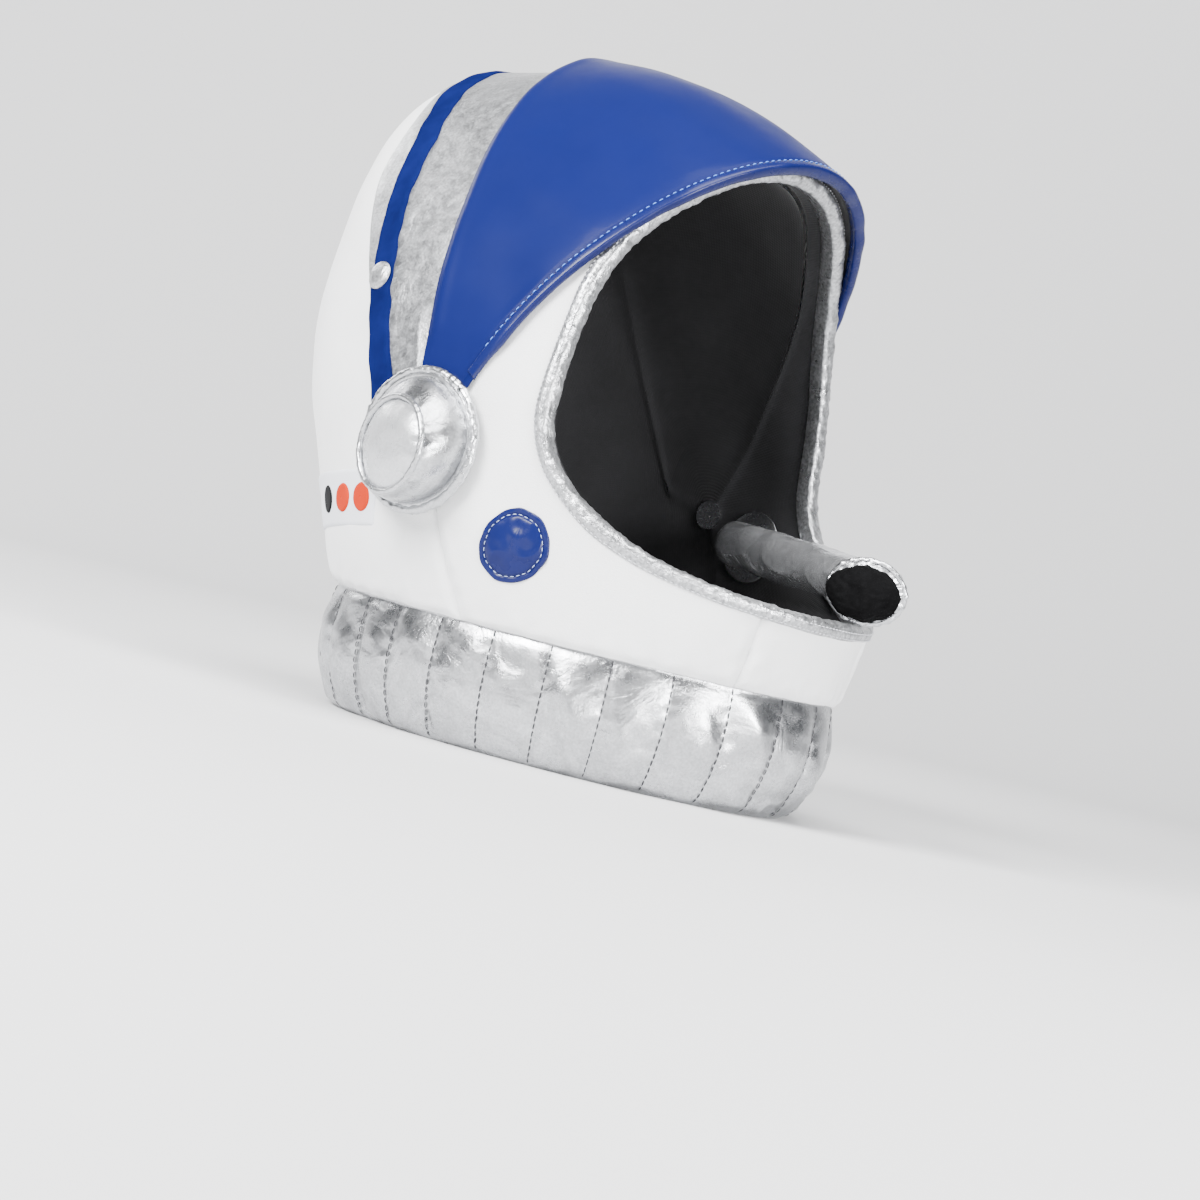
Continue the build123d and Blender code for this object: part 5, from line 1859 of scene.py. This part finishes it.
def make_root_pad():
    """Round reinforcing patch inside the cheek, where the boom is sewn on."""
    h = prop("hood")
    place = np.array([BOOM[0][0] + h.pivot_back, BOOM[0][2] - h.pivot_height])

    def turned_in(s):
        return -ROOT_PATCH_RIM * (1 - smooth((s - ROOT_PATCH_RIM_SHARE) / (1 - ROOT_PATCH_RIM_SHARE)))

    form = Form.get(-h.wall - ROOT_PATCH_OFF)
    p, n = disc_on(form, place, 1, ROOT_PATCH_RADIUS, turned_in, rings=14, count=90)
    obj = shell("mic_root_patch_cloth", p, -n, THICK["root patch"], True)
    return finish_piece(obj, "hood", "silver_lame", stands_for=["mic_root_pad"])


# Fittings, stage and camera


FITTINGS = ("pivot_rivet", "pivot_washer", "visor_grommet")


def make_fittings():
    """Metal look for the rivets, washers and grommets, which keep their own exact solids."""
    for obj in bpy.data.objects:
        if obj.type == "MESH" and any(key in obj.name for key in FITTINGS):
            for number in range(len(obj.material_slots)):
                obj.material_slots[number].material = cloth("rivet_metal")


CAMERA_AZIMUTH = 52.97
CAMERA_RISE = -1.44
CAMERA_ROLL = 13.68
CAMERA_DISTANCE = 1.5
CAMERA_AIM = (0.0, 0.0, 0.130)
CAMERA_SENSOR = 36.0
CAMERA_LENS = 112.5
CAMERA_SHIFT = (-0.0294, -0.1305)


def flat_material(name, base, rough):
    """Plain material of the stage."""
    mat = bpy.data.materials.new(name)
    mat.use_nodes = True
    shader = mat.node_tree.nodes["Principled BSDF"]
    shader.inputs["Base Color"].default_value = (*base, 1.0)
    shader.inputs["Roughness"].default_value = rough
    return mat


# Stage: rows of its floor before the bend, where and how widely it bends, height and half width
STAGE_FLOOR = (-2.6, -1.2)
STAGE_BEND_AT = 0.9
STAGE_BEND_RADIUS = 0.7
STAGE_HEIGHT = 3.2
STAGE_HALF_WIDTH = 3.2
STAGE_COLOUR = (0.60, 0.60, 0.605)
STAGE_ROUGHNESS = 0.9


def make_stage():
    """Pale floor that curves up into a backdrop."""
    a = math.radians(CAMERA_AZIMUTH)
    away = np.array([-math.cos(a), math.sin(a)])
    side = np.array([-away[1], away[0]])
    bend = np.linspace(0, math.pi / 2, 24)
    run = np.concatenate([STAGE_FLOOR, STAGE_BEND_AT + STAGE_BEND_RADIUS * np.sin(bend)])
    rise = np.concatenate([[0.0, 0.0], STAGE_BEND_RADIUS * (1 - np.cos(bend))])
    run, rise = np.append(run, run[-1])[:, None], np.append(rise, STAGE_HEIGHT)[:, None]
    wide = np.linspace(-STAGE_HALF_WIDTH, STAGE_HALF_WIDTH, 9)
    p = stacked(run * away[0] + wide * side[0], run * away[1] + wide * side[1], rise)
    flip = grid_normals(p)[1, 4, 2] < 0
    obj = put("stage_floor", p, quads(*p.shape[:2], flip=not flip))
    obj.data.materials.append(flat_material("stage_paper", STAGE_COLOUR, STAGE_ROUGHNESS))
    return obj


def area_light(name, place, target, size, power):
    """Soft square light that points at a target."""
    data = bpy.data.lights.new(name, "AREA")
    data.shape = "RECTANGLE"
    data.size = size
    data.size_y = size
    data.energy = power
    obj = bpy.data.objects.new(name, data)
    bpy.context.scene.collection.objects.link(obj)
    obj.location = place
    obj.rotation_euler = (Vector(target) - Vector(place)).to_track_quat("-Z", "Y").to_euler()
    return obj


# Lights: place as towards the camera, to the right and up, then size and power
LIGHTS = {
    "light_key": ((1.2, -1.1, 1.2), 0.9, 128.0),
    "light_fill": ((1.3, 1.3, 0.5), 0.6, 56.0),
    "light_top": ((0.45, 0.1, 1.6), 1.0, 54.0),
    "light_rim": ((-1.0, -1.2, 0.8), 0.6, 12.0),
    "light_low": ((1.5, 0.5, 0.12), 0.35, 9.0),
}
LIGHT_AIM = (0.0, 0.0, 0.14)
WORLD_COLOUR = (0.90, 0.94, 1.0, 1.0)
WORLD_STRENGTH = 0.14


def make_lights():
    """Studio light: a broad key from the camera's left, fill, top, rim and low light, pale world."""
    a = math.radians(CAMERA_AZIMUTH)
    back = Vector((math.cos(a), -math.sin(a), 0.0))
    right = Vector((math.sin(a), math.cos(a), 0.0))
    for name, ((forward, across, up), size, power) in LIGHTS.items():
        place = back * forward + right * across + Vector((0, 0, up))
        area_light(name, place, LIGHT_AIM, size, power)
    world = bpy.data.worlds.new("studio_world")
    world.use_nodes = True
    background = world.node_tree.nodes["Background"]
    background.inputs["Color"].default_value = WORLD_COLOUR
    background.inputs["Strength"].default_value = WORLD_STRENGTH
    bpy.context.scene.world = world


def make_camera():
    """Camera where the photograph was taken from, a little below the ears and rolled."""
    a, e, roll = (math.radians(x) for x in (CAMERA_AZIMUTH, CAMERA_RISE, CAMERA_ROLL))
    back = Vector((math.cos(a) * math.cos(e), -math.sin(a) * math.cos(e), math.sin(e)))
    right = Vector((math.sin(a), math.cos(a), 0.0))
    up = back.cross(right)
    x = math.cos(roll) * right + math.sin(roll) * up
    y = -math.sin(roll) * right + math.cos(roll) * up
    data = bpy.data.cameras.new("camera")
    data.sensor_width = CAMERA_SENSOR
    data.lens = CAMERA_LENS
    data.shift_x, data.shift_y = CAMERA_SHIFT
    obj = bpy.data.objects.new("camera", data)
    bpy.context.scene.collection.objects.link(obj)
    place = Vector(CAMERA_AIM) + back * CAMERA_DISTANCE
    turn = Matrix((x, y, back)).transposed().to_4x4()
    obj.matrix_world = Matrix.Translation(place) @ turn
    bpy.context.scene.camera = obj
    return obj


# Add-on


def need(made, what):
    """Stops with an error where an operator has nothing to show."""
    if not made:
        raise RuntimeError("nothing was made for " + what)
    return {"FINISHED"}


class HELMET_OT_cover(bpy.types.Operator):
    """Make the white panels of the hood"""
    bl_idname = "helmet.cover"
    bl_label = "Cover"

    def execute(self, context):
        return need(make_cover(), "cover")


class HELMET_OT_linings(bpy.types.Operator):
    """Make the black lining inside the hood"""
    bl_idname = "helmet.linings"
    bl_label = "Lining"

    def execute(self, context):
        return need(make_linings(), "lining")


class HELMET_OT_binding(bpy.types.Operator):
    """Make the silver binding of the face opening"""
    bl_idname = "helmet.binding"
    bl_label = "Face Binding"

    def execute(self, context):
        return need(make_face_binding(), "face binding")


class HELMET_OT_bands(bpy.types.Operator):
    """Make the silver band, its blue stripe and studs"""
    bl_idname = "helmet.bands"
    bl_label = "Crown Band"

    def execute(self, context):
        return need(make_bands(), "crown band")


class HELMET_OT_patches(bpy.types.Operator):
    """Make the cheek discs and the patch with dots"""
    bl_idname = "helmet.patches"
    bl_label = "Patches"

    def execute(self, context):
        return need(make_patches(), "patches")


class HELMET_OT_visor(bpy.types.Operator):
    """Make the padded visor"""
    bl_idname = "helmet.visor"
    bl_label = "Visor"

    def execute(self, context):
        return need(make_visor(), "visor")


class HELMET_OT_pods(bpy.types.Operator):
    """Make both ear pods"""
    bl_idname = "helmet.pods"
    bl_label = "Ear Pods"

    def execute(self, context):
        return need(make_pod(1, "left") + make_pod(-1, "right"), "ear pods")


class HELMET_OT_collar(bpy.types.Operator):
    """Make the quilted collar"""
    bl_idname = "helmet.collar"
    bl_label = "Collar"

    def execute(self, context):
        return need(make_collar(), "collar")


class HELMET_OT_microphone(bpy.types.Operator):
    """Make the microphone with its boom"""
    bl_idname = "helmet.microphone"
    bl_label = "Microphone"

    def execute(self, context):
        return need(make_boom() + make_head() + [make_root_pad()], "microphone")


class HELMET_OT_fittings(bpy.types.Operator):
    """Give the rivets, washers and grommets their metal"""
    bl_idname = "helmet.fittings"
    bl_label = "Fittings"

    def execute(self, context):
        make_fittings()
        return {"FINISHED"}


class HELMET_OT_stage(bpy.types.Operator):
    """Make the floor, the lights and the camera"""
    bl_idname = "helmet.stage"
    bl_label = "Stage and Camera"

    def execute(self, context):
        make_lights()
        return need(make_stage() and make_camera(), "stage")


STEPS = ("cover", "linings", "binding", "bands", "patches", "visor", "pods", "collar", "microphone",
         "fittings", "stage")


class HELMET_PT_panel(bpy.types.Panel):
    """Settings and steps of the helmet"""
    bl_idname = "HELMET_PT_panel"
    bl_label = "Costume Helmet"
    bl_space_type = "VIEW_3D"
    bl_region_type = "UI"
    bl_category = "Helmet"

    def draw(self, context):
        for group_name, kind in GROUPS.items():
            box = self.layout.box()
            box.label(text=group_name.capitalize())
            for field in kind.__annotations__:
                box.prop(prop(group_name), field)
        for step in STEPS:
            self.layout.operator("helmet." + step)


CLASSES = (*GROUPS.values(), HELMET_OT_cover, HELMET_OT_linings, HELMET_OT_binding, HELMET_OT_bands,
           HELMET_OT_patches, HELMET_OT_visor, HELMET_OT_pods, HELMET_OT_collar, HELMET_OT_microphone,
           HELMET_OT_fittings, HELMET_OT_stage, HELMET_PT_panel)


def register():
    """Adds the classes and the scene's settings."""
    for kind in CLASSES:
        bpy.utils.register_class(kind)
    for group_name, kind in GROUPS.items():
        setattr(bpy.types.Scene, "helmet_" + group_name, PointerProperty(type=kind))


def unregister():
    """Takes them away again."""
    for group_name in GROUPS:
        delattr(bpy.types.Scene, "helmet_" + group_name)
    for kind in reversed(CLASSES):
        bpy.utils.unregister_class(kind)


def main():
    """Registers the add-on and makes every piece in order."""
    register()
    for step in STEPS:
        getattr(bpy.ops.helmet, step)()


if __name__ == "__main__":
    main()
